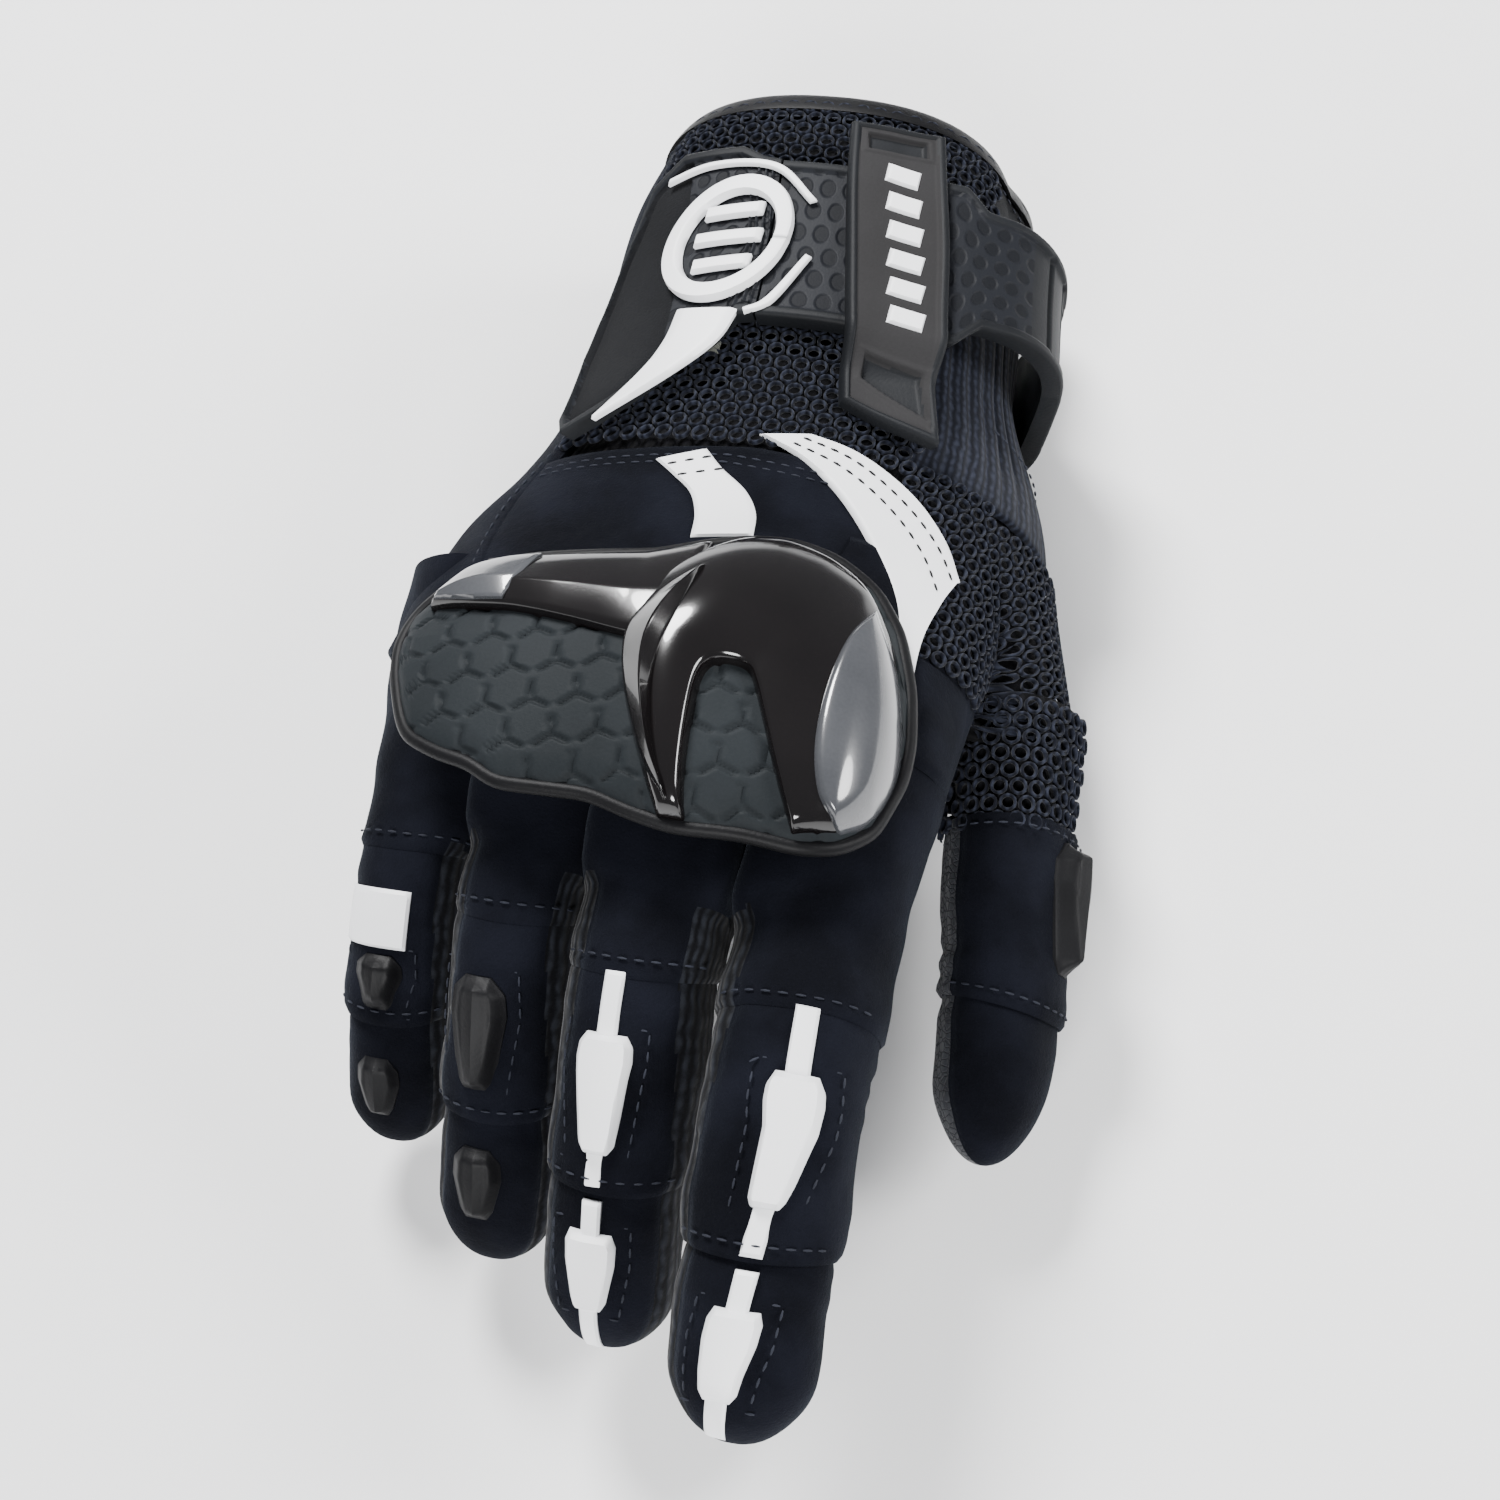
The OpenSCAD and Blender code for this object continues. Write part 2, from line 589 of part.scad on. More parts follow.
module thumb_base_back() color(suede) thumb_segment(0)
    half_sleeve(thumb, 0, 0, 180, thumb_root_bevel, thumb_end_bevel);
module thumb_base_palm() color(leather_grey) thumb_segment(0)
    half_sleeve(thumb, 0, 180, 360, thumb_root_bevel, thumb_end_bevel);
module thumb_tip_stall() color(suede) thumb_segment(1) tip_sleeve(thumb, 1, thumb_end_bevel);
module thumb_guard() color(gloss_black) thumb_segment(0)
    finger_plate(thumb, 0, [[12, 3], [16, 4.6], [27, 3.4]], 4);

back_panel();
back_mesh_panel();
thumb_mesh_panel();
outer_side_panel();
palm_panel();
cuff_palm_panel();
cuff_side_panel();
wrist_elastic();
thumb_gusset();
web_panel();
cuff_binding();
wrist_lining();
knuckle_foam();
knuckle_guard_base();
knuckle_guard_shell();
reflective_arc();
reflective_notch();
palm_slider();
palm_pad();
strap_band();
strap_keeper();
loop_patch();
strap_flap();
strap_emblem();
hook_patch();
index_base_back();
index_base_palm();
index_mid_back();
index_mid_palm();
index_tip_stall();
index_mid_guard();
index_tip_guard();
middle_base_back();
middle_base_palm();
middle_mid_back();
middle_mid_palm();
middle_tip_stall();
middle_mid_guard();
middle_tip_guard();
ring_base_back();
ring_base_palm();
ring_mid_back();
ring_mid_palm();
ring_tip_stall();
ring_mid_guard();
ring_tip_guard();
little_base_back();
little_base_palm();
little_mid_back();
little_mid_palm();
little_tip_stall();
little_mid_guard();
little_tip_guard();
little_patch();
thumb_base_back();
thumb_base_palm();
thumb_tip_stall();
thumb_guard();
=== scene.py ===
# %% [markdown]
# # Protective riding glove
# A right-hand glove of suede, air mesh and leather, with a moulded knuckle guard and a
# wrist strap. The measured model already holds every joint and every solid. Here each
# plain solid gets its real surface: thin panels with rolled seams, knit side walls,
# perforated mesh, moulded rubber and thread.

# %% Load the measured model
import json
import math

import bmesh
import bpy
import numpy as np
from mathutils import Matrix, Vector, noise


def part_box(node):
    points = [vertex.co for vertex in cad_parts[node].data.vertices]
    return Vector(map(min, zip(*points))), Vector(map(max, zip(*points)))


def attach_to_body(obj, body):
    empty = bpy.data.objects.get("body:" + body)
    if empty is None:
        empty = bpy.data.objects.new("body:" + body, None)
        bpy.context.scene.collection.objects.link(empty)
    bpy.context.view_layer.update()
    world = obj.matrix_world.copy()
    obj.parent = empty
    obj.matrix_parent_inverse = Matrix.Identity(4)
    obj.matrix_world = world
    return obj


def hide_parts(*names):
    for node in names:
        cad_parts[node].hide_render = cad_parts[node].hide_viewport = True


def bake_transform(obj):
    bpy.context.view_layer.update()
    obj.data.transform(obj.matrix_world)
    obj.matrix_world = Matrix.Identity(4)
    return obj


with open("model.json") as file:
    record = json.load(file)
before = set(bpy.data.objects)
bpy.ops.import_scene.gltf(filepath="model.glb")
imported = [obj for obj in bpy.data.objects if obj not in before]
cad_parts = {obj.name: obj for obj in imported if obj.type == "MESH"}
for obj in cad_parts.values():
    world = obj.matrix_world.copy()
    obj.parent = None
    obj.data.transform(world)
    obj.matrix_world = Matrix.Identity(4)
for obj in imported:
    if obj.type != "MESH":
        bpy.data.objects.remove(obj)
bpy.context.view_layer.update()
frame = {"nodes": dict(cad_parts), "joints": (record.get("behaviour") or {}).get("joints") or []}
joints = {j["name"]: j for j in frame["joints"]}

# %% [markdown]
# The glove was drawn in millimetres round the middle of the wrist, and then moved so
# that its plan is centred. Working in the same millimetres keeps the numbers readable:
# one shift and one scale are all that stand between them and the scene.

# %% Millimetres of the glove
SHIFT = np.array([-6.8, 12.0, 0.0])


def to_scene(points):
    return (np.asarray(points, float) + SHIFT) * 0.001


def centre_of(joint):
    return np.array(joints[joint]["pos_m"]) * 1000 - SHIFT


print("index knuckle at", centre_of("index_knuckle"))

# %% [markdown]
# The view looks down on the back of the hand from a little to the thumb side, with the
# hand turned slightly in the frame. The camera aims at a point inside the hand.

# %% Camera
AIM = Vector((0.0006, -0.0019, 0.0232))
AZIMUTH, ELEVATION, ROLL = (math.radians(a) for a in (23.5, 60.5, -13.5))
DISTANCE = 0.42
back = Vector((math.sin(AZIMUTH) * math.cos(ELEVATION),
               -math.cos(AZIMUTH) * math.cos(ELEVATION), math.sin(ELEVATION)))
level = Vector((math.cos(AZIMUTH), math.sin(AZIMUTH), 0))
upright = back.cross(level)
right = level * math.cos(ROLL) + upright * math.sin(ROLL)
up = upright * math.cos(ROLL) - level * math.sin(ROLL)
lens = bpy.data.cameras.new("studio_camera")
lens.sensor_width, lens.lens = 36, 57.6
lens.clip_start, lens.clip_end = 0.01, 20
camera = bpy.data.objects.new("studio_camera", lens)
turn = Matrix((right, up, back)).transposed()
camera.matrix_world = Matrix.Translation(AIM + back * DISTANCE) @ turn.to_4x4()
bpy.context.collection.objects.link(camera)
bpy.context.scene.camera = camera
print("camera stands", round(DISTANCE * 1000), "mm from its aim")

# %% [markdown]
# A pale floor and large soft lights suit a dark object: the floor bounces light into the
# sides, and broad lamps draw long soft highlights on the moulded parts. The key lamp
# stands past the cuff so that its reflection lies on the knuckle guard.

# %% Floor and lights
LAMP_AIM = Vector((0, 0, 0.03))


def lamp(name, place, size, power):
    data = bpy.data.lights.new(name, "AREA")
    data.shape, data.size, data.energy = "DISK", size, power
    made = bpy.data.objects.new(name, data)
    made.location = place
    made.rotation_euler = (LAMP_AIM - Vector(place)).to_track_quat("-Z", "Y").to_euler()
    bpy.context.collection.objects.link(made)


lamp("key_lamp", (-0.35, 0.60, 0.85), 0.36, 26)
lamp("front_lamp", (0.05, -1.0, 0.75), 0.5, 20)
lamp("side_lamp", (0.9, 0.15, 0.6), 0.45, 13)
world = bpy.data.worlds.new("studio_air")
world.use_nodes = True
air = world.node_tree.nodes["Background"].inputs
air["Color"].default_value = (0.93, 0.95, 1, 1)
air["Strength"].default_value = 0.30
bpy.context.scene.world = world
bm = bmesh.new()
bmesh.ops.create_grid(bm, x_segments=1, y_segments=1, size=3)
floor_mesh = bpy.data.meshes.new("studio_floor")
bm.to_mesh(floor_mesh)
bm.free()
floor = bpy.data.objects.new("studio_floor", floor_mesh)
bpy.context.collection.objects.link(floor)
print("lamps", len(bpy.data.lights))

# %% [markdown]
# Shader maths reads best as plain arithmetic. A Signal wraps one output socket and turns
# each operator into a Math node; a Finish holds one material, makes any other node, and
# ends in one surface shader. Values that never change go on the shader's own sockets.

# %% Signals and finishes
class Signal:
    def __init__(self, finish, socket):
        self.finish, self.socket = finish, socket

    def maths(self, operation, *values):
        return self.finish.node("ShaderNodeMath", {"operation": operation},
                                dict(enumerate(values)))

    def __add__(self, other):
        return self.maths("ADD", self, other)

    def __sub__(self, other):
        return self.maths("SUBTRACT", self, other)

    def __rsub__(self, other):
        return self.maths("SUBTRACT", other, self)

    def __mul__(self, other):
        return self.maths("MULTIPLY", self, other)

    def between(self, low, high):
        """0 below low, 1 above high, smooth between them"""
        return self.finish.node("ShaderNodeMapRange", {"interpolation_type": "SMOOTHSTEP"},
                                {0: self, 1: low, 2: high})


class Finish:
    def __init__(self, name):
        self.material = bpy.data.materials.new(name)
        self.material.use_nodes = True
        self.tree = self.material.node_tree
        self.tree.nodes.clear()

    def node(self, kind, settings=None, sockets=None, output=0):
        made = self.tree.nodes.new(kind)
        for key, value in (settings or {}).items():
            setattr(made, key, value)
        for key, value in (sockets or {}).items():
            if isinstance(value, Signal):
                self.tree.links.new(value.socket, made.inputs[key])
            else:
                made.inputs[key].default_value = value
        return Signal(self, made.outputs[output]) if made.outputs else None

    def place(self):
        return self.node("ShaderNodeTexCoord", output="Object")

    def cloth_place(self, turn=0):
        """The piece's own map, in metres of cloth, turned"""
        return self.node("ShaderNodeMapping", {}, {
            "Vector": self.node("ShaderNodeUVMap", {"uv_map": "cloth"}),
            "Rotation": (0, 0, turn)})

    def noise(self, scale, detail=2, rough=0.5):
        return self.node("ShaderNodeTexNoise", {}, {
            "Vector": self.place(), "Scale": scale, "Detail": detail, "Roughness": rough})

    def waves(self, scale, direction="X", turn=0, **more):
        return self.node("ShaderNodeTexWave", {"bands_direction": direction}, {
            "Vector": self.cloth_place(turn), "Scale": scale, **more})

    def cell_walls(self, scale):
        """Distance from the walls between random cells"""
        return self.node("ShaderNodeTexVoronoi", {"feature": "DISTANCE_TO_EDGE"}, {
            "Vector": self.place(), "Scale": scale})

    def blend(self, factor, first, second):
        return self.node("ShaderNodeMix", {"data_type": "RGBA"},
                         {0: factor, 6: colour(first), 7: colour(second)}, 2)

    def bump(self, height, depth, normal=None):
        sockets = {"Height": height, "Distance": depth * 0.001, "Strength": 1.0}
        if normal:
            sockets["Normal"] = normal
        return self.node("ShaderNodeBump", {}, sockets)

    def surface(self, base, roughness, normal=None, **constant):
        sockets = {"Base Color": colour(base), "Roughness": roughness}
        if normal:
            sockets["Normal"] = normal
        for key, value in constant.items():
            sockets[key.replace("_", " ").title().replace("Ior", "IOR")] = value
        shader = self.node("ShaderNodeBsdfPrincipled", {}, sockets)
        self.node("ShaderNodeOutputMaterial", {}, {"Surface": shader})
        return self.material


def colour(value):
    if isinstance(value, Signal) or len(value) == 4:
        return value
    return (*value, 1)


print("finish tools ready")

# %% [markdown]
# Suede is leather with its fibres raised. The nap lies in patches, so it is never one
# colour: broad soft noise moves the blue-black up and down, fine noise roughens it, and
# a little sheen catches light at the turned-away edges.

# %% Suede
f = Finish("navy_suede")
patches = f.noise(60, 3)
fibres = f.noise(2600, 3, rough=0.7)
creases = f.noise(260, 4, rough=0.6)
nap = f.blend(patches.between(0.35, 0.7) * 0.6 + fibres * 0.4,
              (0.0011, 0.0012, 0.0021), (0.0062, 0.0070, 0.0115))
suede = f.surface(nap, 0.95, f.bump(fibres, 0.16, f.bump(creases, 0.28)),
                  sheen_weight=0.035, sheen_roughness=0.4, specular_ior_level=0.06,
                  sheen_tint=(0.7, 0.8, 1, 1))
f = Finish("charcoal_suede")
fibres = f.noise(2200, 3, rough=0.7)
cuff_suede = f.surface(f.blend(f.noise(90, 3) * 0.5 + fibres * 0.5,
                               (0.003, 0.0032, 0.004), (0.011, 0.0115, 0.013)), 0.95,
                       f.bump(fibres, 0.16), sheen_weight=0.04, specular_ior_level=0.08)
print("suedes ready")

# %% [markdown]
# Knit is rows of small loops. Two crossed waves on the cloth's own map draw the loops,
# and noise breaks them up into the fuzz of a brushed stretch yarn.

# %% Knit, yarn, lining
PER_MM = 314.0  # the scale of a wave texture whose bands lie a millimetre apart


def knit(name, low, high, pitch, fuzz, depth=0.22):
    f = Finish(name)
    across, along = (f.waves(PER_MM / pitch / apart, direction, **{
        "Distortion": wobble, "Detail": 1, "Detail Scale": 2})
        for direction, apart, wobble in (("X", 2, 2.5), ("Y", 3, 3.0)))
    loops = across * (along * 0.5 + 0.5)
    hair = f.noise(fuzz, 3, rough=0.75)
    height = loops * 0.6 + hair * 0.5
    tone = f.blend(height.between(0.2, 0.9), low, high)
    return f.surface(tone, 0.95, f.bump(height, depth), sheen_weight=0.06,
                     sheen_roughness=0.5, specular_ior_level=0.08)


side_knit = knit("brushed_knit", (0.0015, 0.0016, 0.0024), (0.013, 0.0145, 0.019), 1.0, 1500)
mesh_yarn = knit("mesh_yarn", (0.0040, 0.0046, 0.0078), (0.019, 0.022, 0.034), 0.7, 2600, 0.1)
lining_knit = knit("lining_knit", (0.07, 0.075, 0.085), (0.22, 0.23, 0.25), 0.9, 1800)
backing_cloth = knit("mesh_backing", (0.0015, 0.0015, 0.002), (0.006, 0.006, 0.008),
                     0.8, 2400)
print("knits ready")

# %% [markdown]
# Leather shows a grain of small pebbles with fine valleys between them. The distance to
# the edge of Voronoi cells gives the valleys; the palm's leather is a soft grey, the
# thumb's a darker gloss.

# %% Leathers
def leather(name, low, high, rough):
    f = Finish(name)
    pebbles = f.cell_walls(900).between(0.0, 0.12)
    folds = f.noise(140, 4, rough=0.6)
    tone = f.blend(folds.between(0.3, 0.75) * 0.7 + pebbles * 0.3, low, high)
    return f.surface(tone, 1 - pebbles * (1 - rough),
                     f.bump(pebbles, 0.10, f.bump(folds, 0.3)), specular_ior_level=0.4)


palm_leather = leather("grey_palm_leather", (0.045, 0.047, 0.052), (0.10, 0.104, 0.112), 0.6)
dark_leather = leather("dark_palm_leather", (0.009, 0.0095, 0.012), (0.024, 0.026, 0.031),
                       0.42)
print("leathers ready")

# %% [markdown]
# Moulded rubber is matte with a faint speckle. The gloss shell is the same black plastic
# as a visor: dark base, smooth, and a clear coat for the sharp second highlight.

# %% Rubbers, shell, film, thread
def moulded(name, low, high, rough, speckle=1800, depth=0.05, **more):
    f = Finish(name)
    grain = f.noise(speckle, 3, rough=0.6)
    wear = f.noise(45, 3)
    tone = f.blend(grain * 0.5 + wear.between(0.3, 0.7) * 0.5, low, high)
    return f.surface(tone, wear * 0.12 + (rough - 0.06), f.bump(grain, depth), **more)


def scaled_rubber(name, low, high, rough, size):
    """Rubber with small scales: three sets of waves at 60 degrees make round bumps"""
    f = Finish(name)
    waves = [f.waves(PER_MM / size, turn=math.radians(60 * k), Distortion=0, Detail=0)
             for k in range(3)]
    scale = ((waves[0] + waves[1] + waves[2]) * 0.3333).between(0.34, 0.62)
    grain = f.noise(2400, 2)
    tone = f.blend(scale * 0.6 + grain * 0.4, low, high)
    return f.surface(tone, rough - scale * 0.08, f.bump(scale, 0.22, f.bump(grain, 0.04)),
                     specular_ior_level=0.10)


guard_rubber = moulded("guard_rubber", (0.0095, 0.0115, 0.013), (0.017, 0.020, 0.0225),
                       0.62, specular_ior_level=0.08)
strap_rubber = scaled_rubber("strap_rubber", (0.0045, 0.005, 0.0065),
                             (0.0105, 0.0115, 0.0145), 0.62, 3.6)
# Darker smooth rubber of the strap's rims; in the keeper's recesses the same colour is painted
# shade.
strap_rim_and_recess_shade = moulded("strap_rim_and_recess_shade", (0.005, 0.0055, 0.0065), (0.010, 0.011, 0.013), 0.55,
                    specular_ior_level=0.12)
keeper_rubber = moulded("keeper_rubber", (0.0155, 0.015, 0.0155), (0.024, 0.0235, 0.0245),
                        0.66, specular_ior_level=0.08)
piping_rubber = moulded("piping_rubber", (0.003, 0.003, 0.0035), (0.007, 0.007, 0.008), 0.5,
                        specular_ior_level=0.12)
gloss_shell = moulded("gloss_shell", (0.0025, 0.002, 0.0022), (0.005, 0.004, 0.0042), 0.14,
                      depth=0.004, coat_weight=0.55, coat_roughness=0.03,
                      specular_ior_level=0.35)
# Lighter smoke-grey plastic: the side oval's own colour, and a painted reflection where it covers
# the band's facet.
smoke_shell_and_painted_reflection = moulded("smoke_shell_and_painted_reflection", (0.030, 0.032, 0.036), (0.060, 0.062, 0.068), 0.22,
                      depth=0.004, coat_weight=0.8, coat_roughness=0.06)
white_film = moulded("white_film", (0.80, 0.81, 0.83), (0.88, 0.885, 0.90), 0.45,
                     speckle=3200, depth=0.02)
navy_thread = moulded("navy_thread", (0.006, 0.007, 0.012), (0.020, 0.023, 0.034), 0.7, 3000,
                      specular_ior_level=0.2)
black_thread = moulded("black_thread", (0.004, 0.004, 0.005), (0.012, 0.012, 0.014), 0.7,
                       3000, specular_ior_level=0.2)
foam_grey = moulded("foam_grey", (0.02, 0.02, 0.022), (0.04, 0.04, 0.044), 0.9, 900, 0.2)
floor_paint = moulded("floor_paint", (0.86, 0.86, 0.865), (0.88, 0.88, 0.885), 0.7, 300, 0.0)
floor.data.materials.append(floor_paint)
f = Finish("loop_pile")
pile = f.noise(1300, 4, rough=0.8)
loops = f.blend(pile.between(0.3, 0.75), (0.012, 0.013, 0.011), (0.12, 0.125, 0.10))
loop_pile = f.surface(loops, 1.0, f.bump(pile, 0.7), sheen_weight=0.4,
                      specular_ior_level=0.1)
print("materials", len(bpy.data.materials))

# %% [markdown]
# Nearly every part of a glove is a thin sheet laid over a curved form. So one helper
# makes them all: an operator lays out a flat grid, a table of places moves its points
# onto the form, and one extrusion of the whole region gives the sheet its thickness.
# The grid's own map is rescaled to metres of cloth, so a weave keeps its size.

# %% A sheet laid over a form
MERGE = 2e-6  # metres between two points that are one


def lengths(points, axis):
    steps = np.linalg.norm(np.diff(points, axis=axis), axis=2)
    steps = np.median(steps, axis=1 - axis)
    return np.concatenate([[0], np.cumsum(steps)])


def facing(points):
    """Outward directions of a grid of points, whose rows run on along the form"""
    down = np.gradient(points, axis=0)
    over = np.gradient(points, axis=1)
    normal = np.cross(down, over)
    size = np.linalg.norm(normal, axis=2, keepdims=True)
    return normal / np.maximum(size, 1e-9)


def run_along(line):
    """Distance of each point of a line from its first point"""
    steps = np.linalg.norm(np.diff(line, axis=0), axis=1)
    return np.concatenate([[0], np.cumsum(steps)])


def rounded(share):
    """A quarter circle: 0 at share 0, and 1 with a level top at share 1"""
    return np.sqrt(1 - (1 - np.clip(share, 0, 1)) ** 2)


def finish_mesh(bm, name, materials, angle=50):
    bmesh.ops.recalc_face_normals(bm, faces=bm.faces[:])
    made = bpy.data.meshes.new(name)
    bm.to_mesh(made)
    bm.free()
    for material in materials:
        made.materials.append(material)
    for polygon in made.polygons:
        polygon.use_smooth = True
    made.set_sharp_from_angle(angle=math.radians(angle))
    obj = bpy.data.objects.new(name, made)
    bpy.context.collection.objects.link(obj)
    return obj


def sheet(name, points, thick, materials, paint=None, out=None, wrap=False, angle=50,
          under=None):
    """points: rows x columns x 3 in millimetres. paint gives each face's material."""
    rows, cols = points.shape[0] - 1, points.shape[1] - 1
    if under is None:
        under = points - (facing(points) if out is None else out) * thick
    high_table, low_table = (to_scene(side).reshape(-1, 3) for side in (points, under))
    bm = bmesh.new()
    uv = bm.loops.layers.uv.new("cloth")
    bmesh.ops.create_grid(bm, x_segments=cols, y_segments=rows, size=1)
    tag = bm.verts.layers.int.new("place")
    for vert in bm.verts:
        i = round((vert.co.y + 1) / 2 * rows)
        j = round((vert.co.x + 1) / 2 * cols)
        vert[tag] = i * (cols + 1) + j
    wide, long = lengths(points, 1) * 0.001, lengths(points, 0) * 0.001
    for face in bm.faces:
        centre = face.calc_center_median()
        i = min(rows - 1, int((centre.y + 1) / 2 * rows))
        j = min(cols - 1, int((centre.x + 1) / 2 * cols))
        face.material_index = int(paint[i, j]) if paint is not None else 0
        for loop in face.loops:
            place = loop.vert[tag]
            loop[uv].uv = (wide[place % (cols + 1)], long[place // (cols + 1)])
    outer = bm.faces[:]
    made = bmesh.ops.extrude_face_region(bm, geom=outer, use_keep_orig=True)["geom"]
    copies = {item for item in made if isinstance(item, bmesh.types.BMVert)}
    for item in made:
        if isinstance(item, bmesh.types.BMFace):
            item.material_index = len(materials) - 1
    for vert in bm.verts:
        vert.co = (low_table if vert in copies else high_table)[vert[tag]]
    if wrap:
        bmesh.ops.remove_doubles(bm, verts=bm.verts[:], dist=MERGE)
        bmesh.ops.dissolve_degenerate(bm, dist=MERGE, edges=bm.edges[:])
    bm.verts.layers.int.remove(tag)
    return finish_mesh(bm, name, materials, angle)


def mix(a, b, share):
    return a + (b - a) * share


def smooth(low, high, value):
    share = np.clip((value - low) / (high - low), 0, 1)
    return share * share * (3 - 2 * share)


def table(value, rows):
    rows = np.asarray(rows, float)
    return np.interp(value, rows[:, 0], rows[:, 1])


def curve_table(value, rows):
    """A smooth curve through the rows of a table"""
    rows = np.asarray(rows, float)
    x, y = rows[:, 0], rows[:, 1]
    slope = np.gradient(y, x)
    value = np.clip(value, x[0], x[-1])
    k = np.clip(np.searchsorted(x, value) - 1, 0, len(x) - 2)
    h = x[k + 1] - x[k]
    s = (value - x[k]) / h
    return ((1 + 2 * s) * (1 - s) ** 2 * y[k] + s * (1 - s) ** 2 * h * slope[k]
            + s * s * (3 - 2 * s) * y[k + 1] + s * s * (s - 1) * h * slope[k + 1])


def ripple(points, size, depth, seed=0):
    """Soft unevenness of cloth, in millimetres, for each point of a grid"""
    flat = points.reshape(-1, 3)
    values = [noise.noise(Vector(p) / size + Vector((seed * 7.3, seed * 3.1, 0))) for p in flat]
    return np.array(values).reshape(points.shape[:-1]) * depth


def inset(points):
    """How far each point of a grid lies from the nearest edge of its sheet"""
    long, wide = lengths(points, 0), lengths(points, 1)
    return np.minimum(np.minimum(long, long[-1] - long)[:, None],
                      np.minimum(wide, wide[-1] - wide)[None, :])


def rolled(points, edge=1.1):
    """How far a sheet's edge rolls down towards its seams"""
    return edge * (1 - rounded(inset(points) / edge)) * 0.75


print("sheet tools ready")

# %% [markdown]
# The hand is a row of rounded sections from the knuckles to the cuff. Angle 0 is the
# thumb side, 90 the back of the hand and 270 the palm; a ball swells the thumb side.
# The same table drew the measured model, and a smooth curve through it loses the facets. The size
# of the model's own back panel is printed. A ray test against the model's own panel shows how
# well the two agree.

# %% The hand's form
STATIONS = np.array([
    [-46, -51, 45.5, 37, 69.5], [-34, -52, 46, 34, 70.5], [-26, -51, 46.5, 30, 70.5],
    [-10, -51, 47.5, 19, 68.5], [8, -48.8, 48.5, 8, 64], [30, -39.8, 47, 2.5, 60],
    [52, -35.2, 43, 3.5, 58.5], [68, -35, 41, 6, 58], [88, -34.8, 38.6, 6.3, 58.2],
    [102, -31.6, 35.6, 7.8, 57.4], [110, -29.5, 33.6, 8.8, 56.8]])
SWELLINGS = np.array([[-14, 53.4, 26, 11.4], [0, 46.5, 25.5, 14], [15, 38, 24, 18],
                      [40, 30, 24, 19], [60, 28, 26, 10]])


BACK_POWER = 2.3  # of the rounded sections: 2 is an ellipse, more is squarer


def oval(t, wide, tall, power):
    across, up_ = np.abs(np.cos(t) / wide), np.abs(np.sin(t) / tall)
    return (across ** power + up_ ** power) ** (-1 / power)


def section(y):
    """Middle and half size, across and up, of the hand's section at a station"""
    left, far, low, high = (curve_table(y, STATIONS[:, [0, k]]) for k in (1, 2, 3, 4))
    return (left + far) / 2, (low + high) / 2, (far - left) / 2, (high - low) / 2


def hand(y, degrees, lift=0.0, swollen=True):
    y, t = np.asarray(y, float), np.radians(degrees)
    x0, z0, wide, tall = section(y)
    power = np.where(np.sin(t) > 0, BACK_POWER, 3.0)
    reach = oval(t, wide + lift, tall + lift, power)
    if swollen:
        sx, sz, r = (curve_table(y, SWELLINGS[:, [0, k]]) for k in (1, 2, 3))
        dx, dz, r = sx - x0, sz - z0, r + lift
        on = dx * np.cos(t) + dz * np.sin(t)
        inside = on * on - dx * dx - dz * dz + r * r
        ball = np.where((inside > 0) & (on > 0), on + np.sqrt(np.maximum(inside, 0)), 0)
        reach = (reach ** 11 + ball ** 11) ** (1 / 11)
    return np.stack([x0 + reach * np.cos(t), y + 0 * reach, z0 + reach * np.sin(t)], -1)


def grid(rows, cols):
    return np.meshgrid(np.linspace(0, 1, rows + 1), np.linspace(0, 1, cols + 1),
                       indexing="ij")


def knuckle_line(x):
    return -24 - 0.187 * (x - 5)


low_corner, high_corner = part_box("back_panel")
print("back of the hand", np.round((np.array(high_corner) - np.array(low_corner)) * 1000))

# %% [markdown]
# Each panel is cut between two stations and two seams. It is rolled down along its
# edges, so that two panels meet in a valley as sewn edges do, and a soft ripple keeps
# it from looking machined. Where one panel lies over the next it is raised a little.

# %% Panels of the hand
def on_hand(obj, slot, *nodes):
    """A piece that rides the hand, its slot, which is not used, and the solids it stands for"""
    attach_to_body(obj, "hand")
    if nodes:
        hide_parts(*nodes)
    return obj


def hand_panel(name, node, place, size, material, lift=0.0, swollen=True, relief=None,
               slot="suede", step=1.0):
    u, v = grid(*(max(4, round(s / step)) for s in size))
    y, t = place(u, v)
    base = hand(y, t, 0, swollen)
    raised = lift - rolled(base) + ripple(base, 14, 0.5)
    if relief is not None:
        raised = raised + relief(u, v)
    obj = sheet(name, hand(y, t, raised, swollen), 1.6, [material, lining_knit])
    return on_hand(obj, slot, node)


def far_edge(t, reach):
    return knuckle_line(hand(np.full_like(t, -24.0), t, 0, False)[..., 0]) - reach


def back_place(u, v):
    cuff_end = 24 - 5 * np.abs(v - 0.45)
    return mix(far_edge(mix(34, 150, v), 4.5), cuff_end, u), mix(36, 149, v)


def palm_place(u, v):
    t = mix(200.3, 299.7, v)
    return mix(far_edge(t, -3), 51.6, u), t


